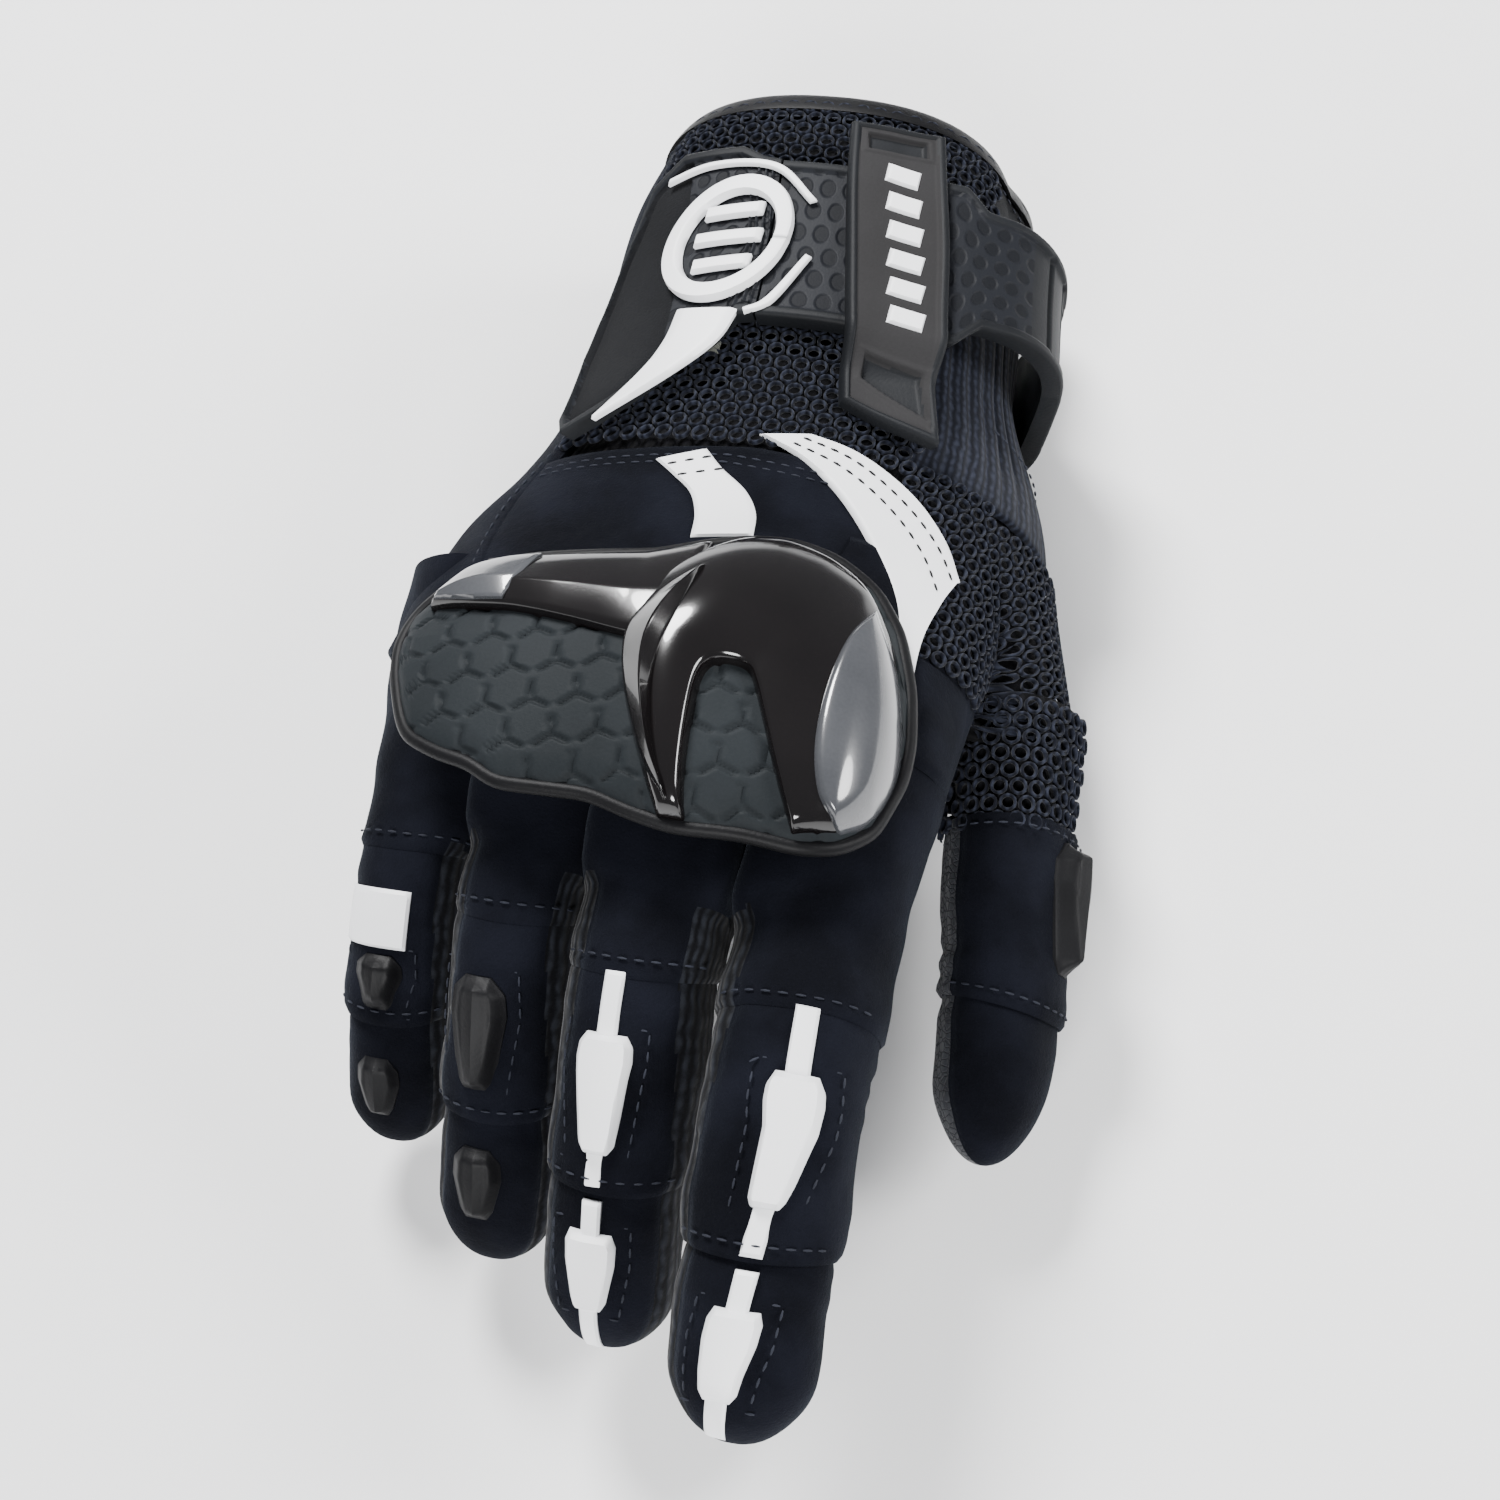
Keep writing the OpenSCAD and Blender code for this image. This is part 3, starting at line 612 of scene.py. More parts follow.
hand_panel("back_of_hand_panel", "back_panel", back_place, (56, 104), suede,
           swollen=False, lift=0.35)
hand_panel("outer_side_suede", "outer_side_panel",
           lambda u, v: (mix(mix(-26, -16, v), 104, u), mix(147.5, 200, v)),
           (125, 32), suede, lift=0.15)
hand_panel("palm_leather_panel", "palm_panel", palm_place, (68, 84), palm_leather,
           slot="leather")
hand_panel("cuff_palm_suede", "cuff_palm_panel",
           lambda u, v: (mix(52, 104, u), mix(200.3, 339.7, v)), (52, 88), cuff_suede)
hand_panel("cuff_side_suede", "cuff_side_panel",
           lambda u, v: (mix(77, 104, u), mix(-20.3, 41, v)), (26, 26), cuff_suede, lift=-0.2)
hand_panel("thumb_gusset_leather", "thumb_gusset",
           lambda u, v: (mix(-8, 51.6, u), mix(-59.7, -20.3, v)), (58, 26), palm_leather,
           slot="leather")
hand_panel("web_suede", "web_panel", lambda u, v: (mix(-32, -10.5, u), mix(-6, 42, v)),
           (18, 28), suede, swollen=False, lift=-0.2)
print("hand panels", 7)

# %% [markdown]
# The elastic at the wrist is gathered on rows of thread, so it stands in ribs that run
# along the arm. The ribs are a real relief, deepest in the middle of the panel.

# %% Gathered elastic
RIBS = 11


def ribs(u, v):
    wave = 0.75 * np.abs(np.sin(v * math.pi * RIBS)) ** 0.7 - 0.5
    return wave * np.sin(np.pi * np.clip(u, 0.03, 0.97)) ** 0.35


hand_panel("gathered_wrist_elastic", "wrist_elastic",
           lambda u, v: (mix(27, 78, u), mix(-20.3, 44, v)), (48, 34), mesh_yarn,
           lift=-0.5, relief=ribs, step=0.5, slot="elastic")
print("elastic ribs", RIBS)

# %% [markdown]
# A finger of a glove is one bent tube. Its centre line follows the joints, and each bend
# is eased over a few millimetres. Angle 0 is the side towards the thumb, 90 the back.
# Near the hand the tube grows to meet the knuckles, and its shoulders widen where the
# web joins it to the next finger.

# %% The fingers' form
FINGERS = {
    "index": dict(lengths=(53, 27, 27), slopes=(-4, 13, 27), wide=(12.8, 12.3, 11.6, 10.2),
                  tall=(11.5, 10.8, 10, 8.8), web=(0, 31), outer=1),
    "middle": dict(lengths=(46, 31, 28), slopes=(7, 28, 42), wide=(11.9, 11.6, 10.9, 9.8),
                   tall=(11.5, 10.8, 9.9, 8.7), web=(36, 33), outer=0),
    "ring": dict(lengths=(43, 29, 27), slopes=(8, 36, 44), wide=(10.3, 10.3, 9.9, 9.3),
                 tall=(11, 10.4, 9.5, 8.5), web=(36, 31), outer=0),
    "little": dict(lengths=(37, 22, 24), slopes=(6, 32, 50), wide=(10.4, 9.4, 8.8, 8.0),
                   tall=(10.2, 9.4, 8.6, 7.8), web=(33, 0), outer=-1),
    "thumb": dict(lengths=(35, 31.5), slopes=(-6, -2), wide=(11.6, 11.2, 7.6), tall=(10, 9.8, 7.8),
                  web=(0, 0), outer=2)}
THUMB_SIDE = np.array([0.422618, 0.172932, -0.889656])
STEP = 0.25  # millimetres between the points of a finger's centre line


def finger_path(name):
    """Joint stations along the finger, and tables of centre, direction and side"""
    f = FINGERS[name]
    if name == "thumb":
        side = THUMB_SIDE
        start, second = centre_of("thumb_lower_joint"), centre_of("thumb_end_joint")
        first = (second - start) / np.linalg.norm(second - start)
        rise = np.cross(first, side)
        bend = math.radians(f["slopes"][1] - f["slopes"][0])
        ways = [first, first * math.cos(bend) - rise * math.sin(bend)]
    else:
        side = np.array([1.0, 0, 0])
        start = centre_of(name + "_knuckle")
        ways = [np.array([0, -math.cos(math.radians(a)), -math.sin(math.radians(a))])
                for a in f["slopes"]]
    marks = np.concatenate([[0], np.cumsum(f["lengths"])])
    s = np.arange(-30, marks[-1] + 0.26, STEP)
    way = np.tile(ways[0], (len(s), 1))
    for k in range(1, len(ways)):
        share = smooth(marks[k] - 6, marks[k] + 6, s)[:, None]
        way = way * (1 - share) + ways[k] * share
    way /= np.linalg.norm(way, axis=1, keepdims=True)
    steps = (way[1:] + way[:-1]) / 2 * STEP
    line = np.concatenate([[[0, 0, 0]], np.cumsum(steps, 0)])
    line += start - line[np.searchsorted(s, 0)]
    return dict(f, s=s, line=line, way=way, side=side, marks=marks, name=name)


paths = {name: finger_path(name) for name in FINGERS}


def along(path, s, key="line"):
    return np.stack([np.interp(s, path["s"], path[key][:, k]) for k in range(3)], -1)


def girth(path, s, t):
    """Half width and half height of the tube, and how square its shoulders are"""
    marks, c, d = path["marks"], np.cos(t), np.sin(t)
    wide = curve_table(s, np.stack([marks, path["wide"]], 1))
    tall = curve_table(s, np.stack([marks, path["tall"]], 1))
    end = marks[-1]
    reach = 0.42 * (end - marks[-2])
    tip = np.sqrt(np.clip(1 - (np.maximum(0, s - end + reach) / reach) ** 2, 0, 1))
    for k in range(1, len(marks) - 1):
        pinch = np.exp(-((s - marks[k]) / 5) ** 2)
        tall = tall - pinch * 0.5 * np.clip(-d, 0, 1)
        wide = wide - pinch * 0.25
    swell = sum(np.exp(-((s - (a + b) / 2) / 9) ** 2) for a, b in zip(marks, marks[1:]))
    tall, wide = tall + 0.35 * swell, wide + 0.2 * swell
    power = BACK_POWER + 0 * s
    if path["outer"] != 2:
        near = smooth(26, -4, s)
        tall = tall + near * np.where(d > 0, 4.6, 5.2) * np.abs(d)
        outer = path["outer"]
        wide = wide + near * np.where(c * outer > 0, 2.6, 0) * np.abs(c)
        for sign, web in ((1, path["web"][0]), (-1, path["web"][1])):
            if web:
                on = smooth(web + 1.5, web - 4, s) * (c * sign > 0) * (d > -0.3)
                power = power + on * 3.2
                wide = wide + on * 0.6 * np.abs(c)
    else:
        near = smooth(14, -8, s)
        tall, wide = tall + near * 1.4, wide + near * 1.0
    return wide * tip, tall * tip, power


def finger(path, s, degrees, lift=0.0):
    t = np.radians(degrees)
    wide, tall, power = girth(path, s, t)
    tip = np.clip(wide / 4, 0, 1)
    wide, tall = (np.maximum(half + lift * tip, 1e-4) for half in (wide, tall))
    reach = oval(t, wide, tall, power)
    rise = np.cross(along(path, s, "way"), path["side"])
    return (along(path, s) + path["side"] * (reach * np.cos(t))[..., None]
            + rise * (reach * np.sin(t))[..., None])


def finger_top(path, s, x, lift=0.0):
    """A place on the back of the finger, x millimetres to the thumb side of its middle"""
    t = np.radians(90) + 0 * s
    wide, tall, _ = girth(path, s, t)
    share = np.minimum(0.985, np.abs(x) / wide)
    rise_by = tall * (1 - share ** BACK_POWER) ** (1 / BACK_POWER) + lift
    rise = np.cross(along(path, s, "way"), path["side"])
    return along(path, s) + path["side"] * (x + 0 * s)[..., None] + rise * rise_by[..., None]


for name, path in paths.items():
    print(name, "is", round(float(path["marks"][-1])), "mm from its knuckle")

# %% [markdown]
# Each finger is sewn from three lengths. The first is cut at the middle joint, the next overlaps
# the tip like a roof tile, and every length is bent round the joint inside it.
# Backs are suede, the walls between fingers are knit, and the palm side is leather;
# a small valley marks each seam. Creases gather where a joint bends.

# %% Finger lengths
SEAMS = {"index": (46, 79), "middle": (45.6, 76), "ring": (41.8, 71), "little": (33.5, 58),
         "thumb": (42, )}
BENDS = {"index": (-5.5, 7), "middle": (0, 11), "ring": (-1, 10.5), "little": (-3.2, 8.5)}
OVERLAP = 2.5  # how far the next length begins before a seam


def seam_curve(path, k, t):
    """Station of a seam round the finger: it bows towards the tip on the back"""
    return SEAMS[path["name"]][k] + 1.6 * np.sin(np.radians(t)) - 0.6


def regions(path, s, t):
    """0 suede, 1 knit, 2 leather, by place on the finger"""
    side = np.where(np.cos(np.radians(t)) > 0, 1, -1)
    turn = np.degrees(np.abs(np.arcsin(np.clip(np.sin(np.radians(t)), -1, 1))))
    upper = np.sin(np.radians(t)) > 0
    knit_sides = (side != path["outer"]) & (path["outer"] != 2)
    web = np.where(side > 0, path["web"][0], path["web"][1])
    free = np.where(s < web - 1, 0, 46 - 14 * smooth(web + 5, web + 40, s))
    limit = np.where(web > 0, free, 27)
    paint = np.where(upper & (turn > np.where(knit_sides, limit, 0)), 0, 1)
    paint = np.where(~upper & (turn > 24), 2, paint)
    paint = np.where((paint == 1) & ~knit_sides, 0, paint)
    if path["outer"] == 2:
        turned = np.mod(t, 360)
        paint = np.where((turned > 196) & (turned < 345), 2, 0)
    return paint


for name, (before, after) in BENDS.items():
    m1, m2 = paths[name]["marks"][1:3]
    name + "_base"
    name + "_base"
    name + "_mid"
    m1 + before
    m1 + after
    name + "_mid"
    name + "_tip"
    m2 - 0.5
    m2 + 9.0


def stick(obj):
    """Bakes a piece's placement into its mesh"""
    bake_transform(obj)
    return obj


def finger_length(name, part, start, end, *nodes, lift=0.0, tuck=0.0):
    """One length of a finger; the last one, the tip, is closed"""
    path, title = paths[name], ("base", "mid", "tip")[part]
    closed = title == "tip"
    zero = np.array([0.0])
    u, v = grid(max(6, round(float((end(zero) - start(zero))[0]) / 0.85)), 96)
    if closed:
        u = np.where(u > 0.6, 0.6 + 0.4 * (1 - (1 - (u - 0.6) / 0.4) ** 1.7), u)
    t = 360 * v - 90
    s = mix(start(t), end(t), u)
    s = np.minimum(s, path["marks"][-1] - 1e-4)
    base = finger(path, s, t)
    kinds = regions(path, s, t)
    seam = np.abs(np.diff(kinds, axis=1, prepend=kinds[:, -2:-1])) > 0
    valley = np.zeros_like(s)
    for shift, depth in ((-2, 0.12), (-1, 0.34), (0, 0.4), (1, 0.16)):
        valley = np.maximum(valley, np.roll(seam, shift, axis=1) * depth)
    folds = np.zeros_like(s)
    for mark in path["marks"][1:-1]:
        near = np.exp(-((s - mark) / 6.5) ** 2)
        side = 0.25 + 0.75 * np.clip(-np.sin(np.radians(t)), 0, 1)
        lean = 0.6 * np.sin(np.radians(t * 2))
        folds += near * side * 0.42 * np.cos((s - mark) * 1.35 + lean)
    first, last = s - start(t), end(t) - s
    tip_fade = np.clip((path["marks"][-1] - s) / 6, 0, 1)
    raised = (lift * (1 - smooth(0, 9, first)) * (tuck > 0) - tuck * (1 - smooth(1, 7, first))
              - valley * tip_fade + folds * 0.8
              + ripple(base, 9, 0.55, seed=len(name)) * tip_fade)
    if not closed:
        raised = raised - 0.5 * (1 - rounded(last / 0.9)) + lift * smooth(12, 4, last)
    skin = finger(path, s, t, raised)
    leather_side = dark_leather if name == "thumb" else palm_leather
    obj = sheet(f"{name}_{title}_skin", skin, 1.3,
                [suede, side_knit, leather_side, lining_knit],
                paint=kinds[:-1, :-1], wrap=True, out=-facing(skin))
    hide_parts(*nodes)
    stick(obj)


def station(value):
    return lambda t: value + 0 * t


def seam_at(name, k, before=0.0):
    return lambda t: seam_curve(paths[name], k, t) - before


for name in BENDS:
    finger_length(name, 0, station(-16), seam_at(name, 0), name + "_base_back",
                  name + "_base_palm", lift=0.45)
    finger_length(name, 1, seam_at(name, 0, OVERLAP), seam_at(name, 1), name + "_mid_back",
                  name + "_mid_palm", lift=0.6, tuck=0.75)
    finger_length(name, 2, seam_at(name, 1, OVERLAP), station(paths[name]["marks"][-1]),
                  name + "_tip_stall", tuck=0.75)
finger_length("thumb", 0, station(10.5), seam_at("thumb", 0), "thumb_base_back",
              "thumb_base_palm", lift=0.4)
finger_length("thumb", 2, seam_at("thumb", 0, OVERLAP), station(paths["thumb"]["marks"][-1]),
              "thumb_tip_stall", tuck=0.7)
print("finger lengths", 3 * len(BENDS) + 2)

# %% [markdown]
# The knuckle guard is a moulding on a padded base. Its plan outline runs between a wrist
# edge and a finger edge, and its height follows the back of the hand plus a crown that
# is highest over the first two knuckles. The base is dull rubber with grooves in the
# pattern of a honeycomb, where only the arms round every second corner are cut deep.

# %% Guard form
GUARD_LEFT, GUARD_RIGHT = -43, 41
WRIST_EDGE = [(GUARD_LEFT, -23), (-42, -19), (-38, -14.5), (-34, -11), (-26, -8.8),
              (-16, -7.6), (-4, -6), (4, -2.5), (10, -0.5), (17, 0.6), (24, -0.8),
              (31, -5), (36, -12), (39.5, -22), (GUARD_RIGHT, -31)]
FINGER_EDGE = [(GUARD_LEFT, -26), (-42, -31), (-38.5, -39), (-36, -43), (-29.8, -46),
               (-24, -47.5), (-19, -50.6), (-10, -50.8), (-4, -50.8), (3, -53),
               (10, -54.4), (20, -53.8), (29, -54.4), (34, -53), (38.5, -48.5),
               (GUARD_RIGHT, -38)]


def back_height(x, y):
    x0, z0, wide, tall = section(np.asarray(y, float))
    share = np.minimum(0.97, np.abs(x - x0) / wide)
    return z0 + tall * (1 - share ** BACK_POWER) ** (1 / BACK_POWER)


def guard_floor(x, y):
    rise = table(x, [(-42, 0), (8, 0.01), (18, 0.03), (31, 0.07), (41, 0.07)])
    return back_height(x, np.maximum(y, -26)) + 2.2 + rise * np.maximum(0, -26 - y)


def guard_edges(x):
    return table(x, FINGER_EDGE), table(x, WRIST_EDGE)


def guard_top(x, y):
    near, far = guard_edges(x)
    u = np.clip((x - GUARD_LEFT) / (GUARD_RIGHT - GUARD_LEFT), 0, 1)
    v = np.clip((y - near) / (far - near), 0, 1)
    from_end = np.minimum(x - GUARD_LEFT, GUARD_RIGHT - x) * 1.4
    inward = np.minimum(np.minimum(y - near, far - y), from_end)
    crown = np.sin(np.pi * u) ** 0.55 * np.sin(np.pi * v) ** 0.7
    crown = crown * (0.42 + 0.58 * smooth(-16, 12, x))
    return guard_floor(x, y) + 0.7 + 1.9 * rounded(inward / 5) + 5.6 * crown


def honeycomb(x, y, pitch, groove):
    """Depth of the grooves, 0 to 1, of a honeycomb whose cells are pitch across"""
    a, b = pitch, pitch * math.sqrt(3)
    best = bx = by = np.full_like(x, 1e3)
    for ox, oy in ((0, 0), (a / 2, b / 2)):
        cx = x - ox - a * np.round((x - ox) / a)
        cy = y - oy - b * np.round((y - oy) / b)
        far = np.maximum(np.abs(cx), np.abs(cx) / 2 + np.abs(cy) * math.sqrt(3) / 2)
        closer = far < best
        best, bx, by = (np.where(closer, new, old)
                        for new, old in ((far, best), (cx, bx), (cy, by)))
    corner, reach = np.full_like(x, 1e3), pitch / math.sqrt(3)
    for k in range(3):
        way = math.radians(90 + 120 * k)
        corner = np.minimum(corner, np.hypot(bx - reach * math.cos(way),
                                             by - reach * math.sin(way)))
    arms = 0.10 + 0.90 * smooth(pitch * 0.50, pitch * 0.38, corner)
    return smooth(groove, groove * 0.4, pitch / 2 - best) * arms


GROOVE = 0.6  # width and depth of the honeycomb's grooves
u, v = grid(216, 130)
gx = mix(GUARD_LEFT, GUARD_RIGHT, v)
gy = mix(*guard_edges(gx), u)
relief = GROOVE * honeycomb(gx * 0.985 + gy * 0.17, gy * 0.985 - gx * 0.17, 7.4, GROOVE)
top = np.stack([gx, gy, guard_top(gx, gy) - relief], -1)
bottom = np.stack([gx, gy, guard_floor(gx, gy) - 0.2], -1)
guard_base = sheet("guard_base_honeycomb", top, 0, [guard_rubber, foam_grey], under=bottom)
on_hand(guard_base, "rubber", "knuckle_guard_base")
print("guard base faces", len(guard_base.data.polygons))

# %% [markdown]
# The gloss shell is made of smaller mouldings that lap each other: a band along the
# wrist edge, a dome that arches round a window in the rubber, a curved blade, and a
# long oval over the first knuckle. Each is a strip between two edges given in plan, and
# its height is a rounded shoulder above the rubber, with a ridge where the piece has one.

# %% Gloss mouldings
def spline(points, count):
    points = np.asarray(points, float)
    index = np.arange(len(points))
    at_ = np.linspace(0, len(points) - 1, count + 1)
    return np.stack([curve_table(at_, np.stack([index, points[:, k]], 1))
                     for k in range(2)], -1)


def strip_plan(first, second, rows, cols):
    """Shares along and across, places in plan and widths of a strip between two edges"""
    u, v = grid(rows, cols)
    a, b = spline(first, rows)[:, None], spline(second, rows)[:, None]
    plan = a * (1 - v[..., None]) + b * v[..., None]
    return u, v, plan[..., 0], plan[..., 1], np.linalg.norm(b - a, axis=2), a, b


def moulding(name, first, second, lift, material, *nodes, swell=0.0, ridge=None, edge=1.3,
             rows=100, cols=36):
    u, v, x, y, wide, a, b = strip_plan(first, second, rows, cols)
    long = run_along(a[:, 0])[-1]
    inward = np.minimum(np.minimum(v, 1 - v) * wide, np.minimum(u, 1 - u) * long)
    arch = np.sin(np.pi * np.clip(u, 0, 1))
    body = np.sin(np.pi * np.clip(v, 0, 1)) ** 0.8 * arch ** 0.5 * swell
    if ridge:
        place, height = ridge
        slope = np.where(v < place, v / place, (1 - v) / (1 - place))
        body = body + height * slope * arch ** 0.45
    z = guard_top(x, y) - 1.0 + (1.0 + lift) * rounded(inward / edge) + body
    obj = sheet(name, np.stack([x, y, z], -1), 0, [material], angle=38,
                under=np.stack([x, y, guard_top(x, y) - 1.6], -1))
    on_hand(obj, "gloss_shell", *nodes)


moulding("guard_band",
         [(-38.8, -20.2), (-30.3, -21.3), (-22.5, -22.1), (-13.3, -23.8), (-4.7, -26),
          (4, -28)],
         [(-38.2, -18.6), (-34.3, -12.9), (-28, -10.3), (-16, -8.9), (-4, -7.3), (6, -3.6)],
         2.0, gloss_shell, ridge=(0.42, 1.5))
moulding("guard_dome",
         [(11.8, -54), (10.9, -46.7), (10.5, -38), (10.7, -32.5), (12, -30), (14.5, -29.4),
          (16.9, -30), (18.3, -32.2), (20.6, -37.5), (24.2, -46), (27.8, -53.4)],
         [(7.5, -54), (3.6, -46.5), (0.8, -38), (-1.5, -29), (-0.5, -15), (12.5, -1.4),
          (27.5, -4.2), (35.3, -14), (38.9, -26), (39.6, -40), (34, -51.4)],
         2.1, gloss_shell, "knuckle_guard_shell", swell=1.6, rows=150, cols=60)
# This lighter smoke-grey facet on the band's left end is a painted reflection: its colour stands in
# for the lamps' light on that face of the band.
moulding("guard_painted_reflection_facet",
         [(-37.9, -19.7), (-30.5, -20.8), (-24.6, -21.2)],
         [(-37.2, -17.8), (-31.5, -11.9), (-20.6, -10.1)],
         3.0, smoke_shell_and_painted_reflection, edge=0.5, rows=40, cols=30, ridge=(0.42, 1.2))
moulding("guard_blade",
         [(6.6, -11.8), (2.2, -16.7), (-1.8, -22.9), (-2.9, -27.8), (-1.5, -34.5),
          (1.5, -42.1), (4.4, -47.7), (8.8, -53)],
         [(7.2, -12.4), (6.6, -18), (5.6, -23.5), (4.4, -30), (4.4, -36), (5.4, -42),
          (7, -47), (9.6, -52.6)],
         3.0, gloss_shell, ridge=(0.62, 3.4), edge=0.8)
moulding("guard_side_oval",
         [(32.6, -11), (29.4, -20), (28.0, -30), (28.2, -40), (30.2, -47.5), (33.6, -51)],
         [(33.4, -11.2), (37.8, -21), (40.3, -32), (40.4, -41), (38.2, -47.5),
          (34.6, -51.2)],
         3.0, smoke_shell_and_painted_reflection, swell=2.2, edge=2.4)
print("gloss mouldings", 5)

# %% [markdown]
# A round tube along a line makes the piping round the guard. The grid operator gives its
# skin; the line's own directions place each ring, and merging closes the seam.

# %% Piping
def ways(line):
    """Directions along a closed line"""
    way = np.roll(line, -1, 0) - np.roll(line, 1, 0)
    return way / np.maximum(np.linalg.norm(way, axis=1, keepdims=True), 1e-9)


def closed_tube(name, line, radius, material, around=10):
    way = ways(line)
    line, way = (np.concatenate([rows, rows[:1]]) for rows in (line, way))
    side = np.cross(way, (0.0, 0.0, 1.0))
    side /= np.maximum(np.linalg.norm(side, axis=1, keepdims=True), 1e-9)
    rise = np.cross(side, way)
    bm = bmesh.new()
    uv = bm.loops.layers.uv.new("cloth")
    rows = len(line) - 1
    bmesh.ops.create_grid(bm, x_segments=around, y_segments=rows, size=1)
    run = run_along(line)
    for vert in bm.verts:
        i, angle = round((vert.co.y + 1) / 2 * rows), (vert.co.x + 1) * math.pi
        for loop in vert.link_loops:
            loop[uv].uv = (angle * radius * 0.001, run[i] * 0.001)
        vert.co = to_scene(line[i] + side[i] * math.cos(angle) * radius
                           + rise[i] * math.sin(angle) * radius)
    bmesh.ops.remove_doubles(bm, verts=bm.verts[:], dist=MERGE)
    return finish_mesh(bm, name, [material])


def closed_line(points, step=1.2):
    around = np.array([*points, points[0]], float)
    run = run_along(around)
    at_ = np.linspace(0, run[-1], max(8, round(run[-1] / step)), endpoint=False)
    line = np.stack([np.interp(at_, run, around[:, k]) for k in range(around.shape[1])], -1)
    for _ in range(4):
        line = (np.roll(line, 1, 0) + 2 * line + np.roll(line, -1, 0)) / 4
    return line


outline = closed_line(WRIST_EDGE + FINGER_EDGE[::-1])
way = ways(outline)
piped = outline + np.stack([-way[:, 1], way[:, 0]], 1) * 0.1
piped_height = guard_floor(piped[:, 0], piped[:, 1]) + 0.9
on_hand(closed_tube("guard_piping", np.column_stack([piped, piped_height]), 1.25,
                    piping_rubber), "rubber")
print("piping runs", round(float(run_along(piped)[-1])), "mm")

# %% [markdown]
# Air mesh is knitted round open cells. Flat six-sided cells are laid in staggered rows,
# an inset leaves a ring round each, and the middles are deleted. The flat net is then
# wrapped on the hand by arc length, so that cells keep their size where the hand swells.
# Solidify and one subdivision turn the rings into rounded cords.

# %% Air mesh
CELL, RIDGE, CORD = 3.3, 0.76, 0.0012  # across a cell, its ring, and metres thick
ROW = CELL * 0.866


def net(name, inside, wrap, width, height):
    bm = bmesh.new()
    uv = bm.loops.layers.uv.new("cloth")
    turned = Matrix.Rotation(math.radians(30), 4, "Z")
    for row in range(int(height[0] / ROW) - 1, int(height[1] / ROW) + 2):
        for col in range(int(width[0] / CELL) - 1, int(width[1] / CELL) + 2):
            a, b = (col + 0.5 * (row % 2)) * CELL, row * CELL * 0.866
            if inside(a, b):
                bmesh.ops.create_circle(
                    bm, cap_ends=True, segments=6, radius=CELL / math.sqrt(3),
                    matrix=Matrix.Translation((a, b, 0)) @ turned)
    bmesh.ops.remove_doubles(bm, verts=bm.verts[:], dist=0.1)
    cells = bm.faces[:]
    bmesh.ops.inset_individual(bm, faces=cells, thickness=RIDGE)
    bmesh.ops.delete(bm, geom=cells, context="FACES")
    for face in bm.faces:
        for loop in face.loops:
            loop[uv].uv = (loop.vert.co.x * 0.001, loop.vert.co.y * 0.001)
    flat = np.array([v_.co[:2] for v_ in bm.verts])
    for vert, place in zip(bm.verts, to_scene(wrap(flat[:, 0], flat[:, 1]))):
        vert.co = place
    obj = finish_mesh(bm, name, [mesh_yarn])
    thick = obj.modifiers.new("cord", "SOLIDIFY")
    thick.thickness, thick.offset = CORD, -1
    round_ = obj.modifiers.new("round", "SUBSURF")
    round_.levels = round_.render_levels = 1
    print(name, len(cells), "cells")
    return obj


ARC_Y = np.arange(-40, 112, 2.0)
ARC_T = np.arange(-30, 156, 0.5)
skin_table = hand(ARC_Y[:, None], ARC_T[None, :] + 0 * ARC_Y[:, None])
arc = np.concatenate([np.zeros((len(ARC_Y), 1)), np.cumsum(np.linalg.norm(
    np.diff(skin_table, axis=1), axis=2), axis=1)], 1)
arc -= arc[:, np.searchsorted(ARC_T, 90)][:, None]


def unroll(a, y):
    """Angle round the hand of a place a millimetres from the middle of its back"""
    k = (np.clip(y, ARC_Y[0], ARC_Y[-1] - 0.01) - ARC_Y[0]) / 2
    out = []
    for a_, k_ in zip(np.atleast_1d(a), np.atleast_1d(k)):
        i = int(k_)
        out.append(np.interp(a_, arc[i] * (1 - k_ + i) + arc[i + 1] * (k_ - i), ARC_T))
    return np.array(out)


def mesh_region(a, y):
    t = float(unroll(a, y)[0])
    if y > 24:
        return y < 105 and 19 < t < 150 if y < 28 or y > 77 else 40 < t < 150
    return -13.5 < y and -22 < t < (38 if y < 12 else 43.5)


air_mesh = net("air_mesh_net", mesh_region, lambda a, y: hand(y, unroll(a, y), -0.35),
               (-80, 80), (-14, 106))
on_hand(air_mesh, "air_mesh", "back_mesh_panel", "thumb_mesh_panel")
SUEDE_EDGE = [(-26, 21), (-14, 25), (-6, 24), (-1, 25), (3.5, 29), (7.5, 37)]
u, v = grid(70, 40)
y = mix(-26, 7.5, u)
tongue_lift = 0.3 + 0.75 * smooth(0, 0.07, v) * smooth(0, 0.04, 1 - u)
tongue_face = hand(y, mix(table(y, SUEDE_EDGE), 46, v), tongue_lift)
on_hand(sheet("index_side_suede", tongue_face, 1.6, [suede, lining_knit]), "suede")
for name, place, size in (
        ("mesh_backing_wrist", lambda u, v: (mix(22, 104, u), mix(34, 151, v)), (60, 60)),
        ("mesh_backing_thumb", lambda u, v: (mix(-14, 46, u), mix(-22, 45, v)), (40, 40))):
    y, t = place(*grid(*size))
    on_hand(sheet(name, hand(y, t, -1.9), 0.8, [backing_cloth, lining_knit]), "lining")

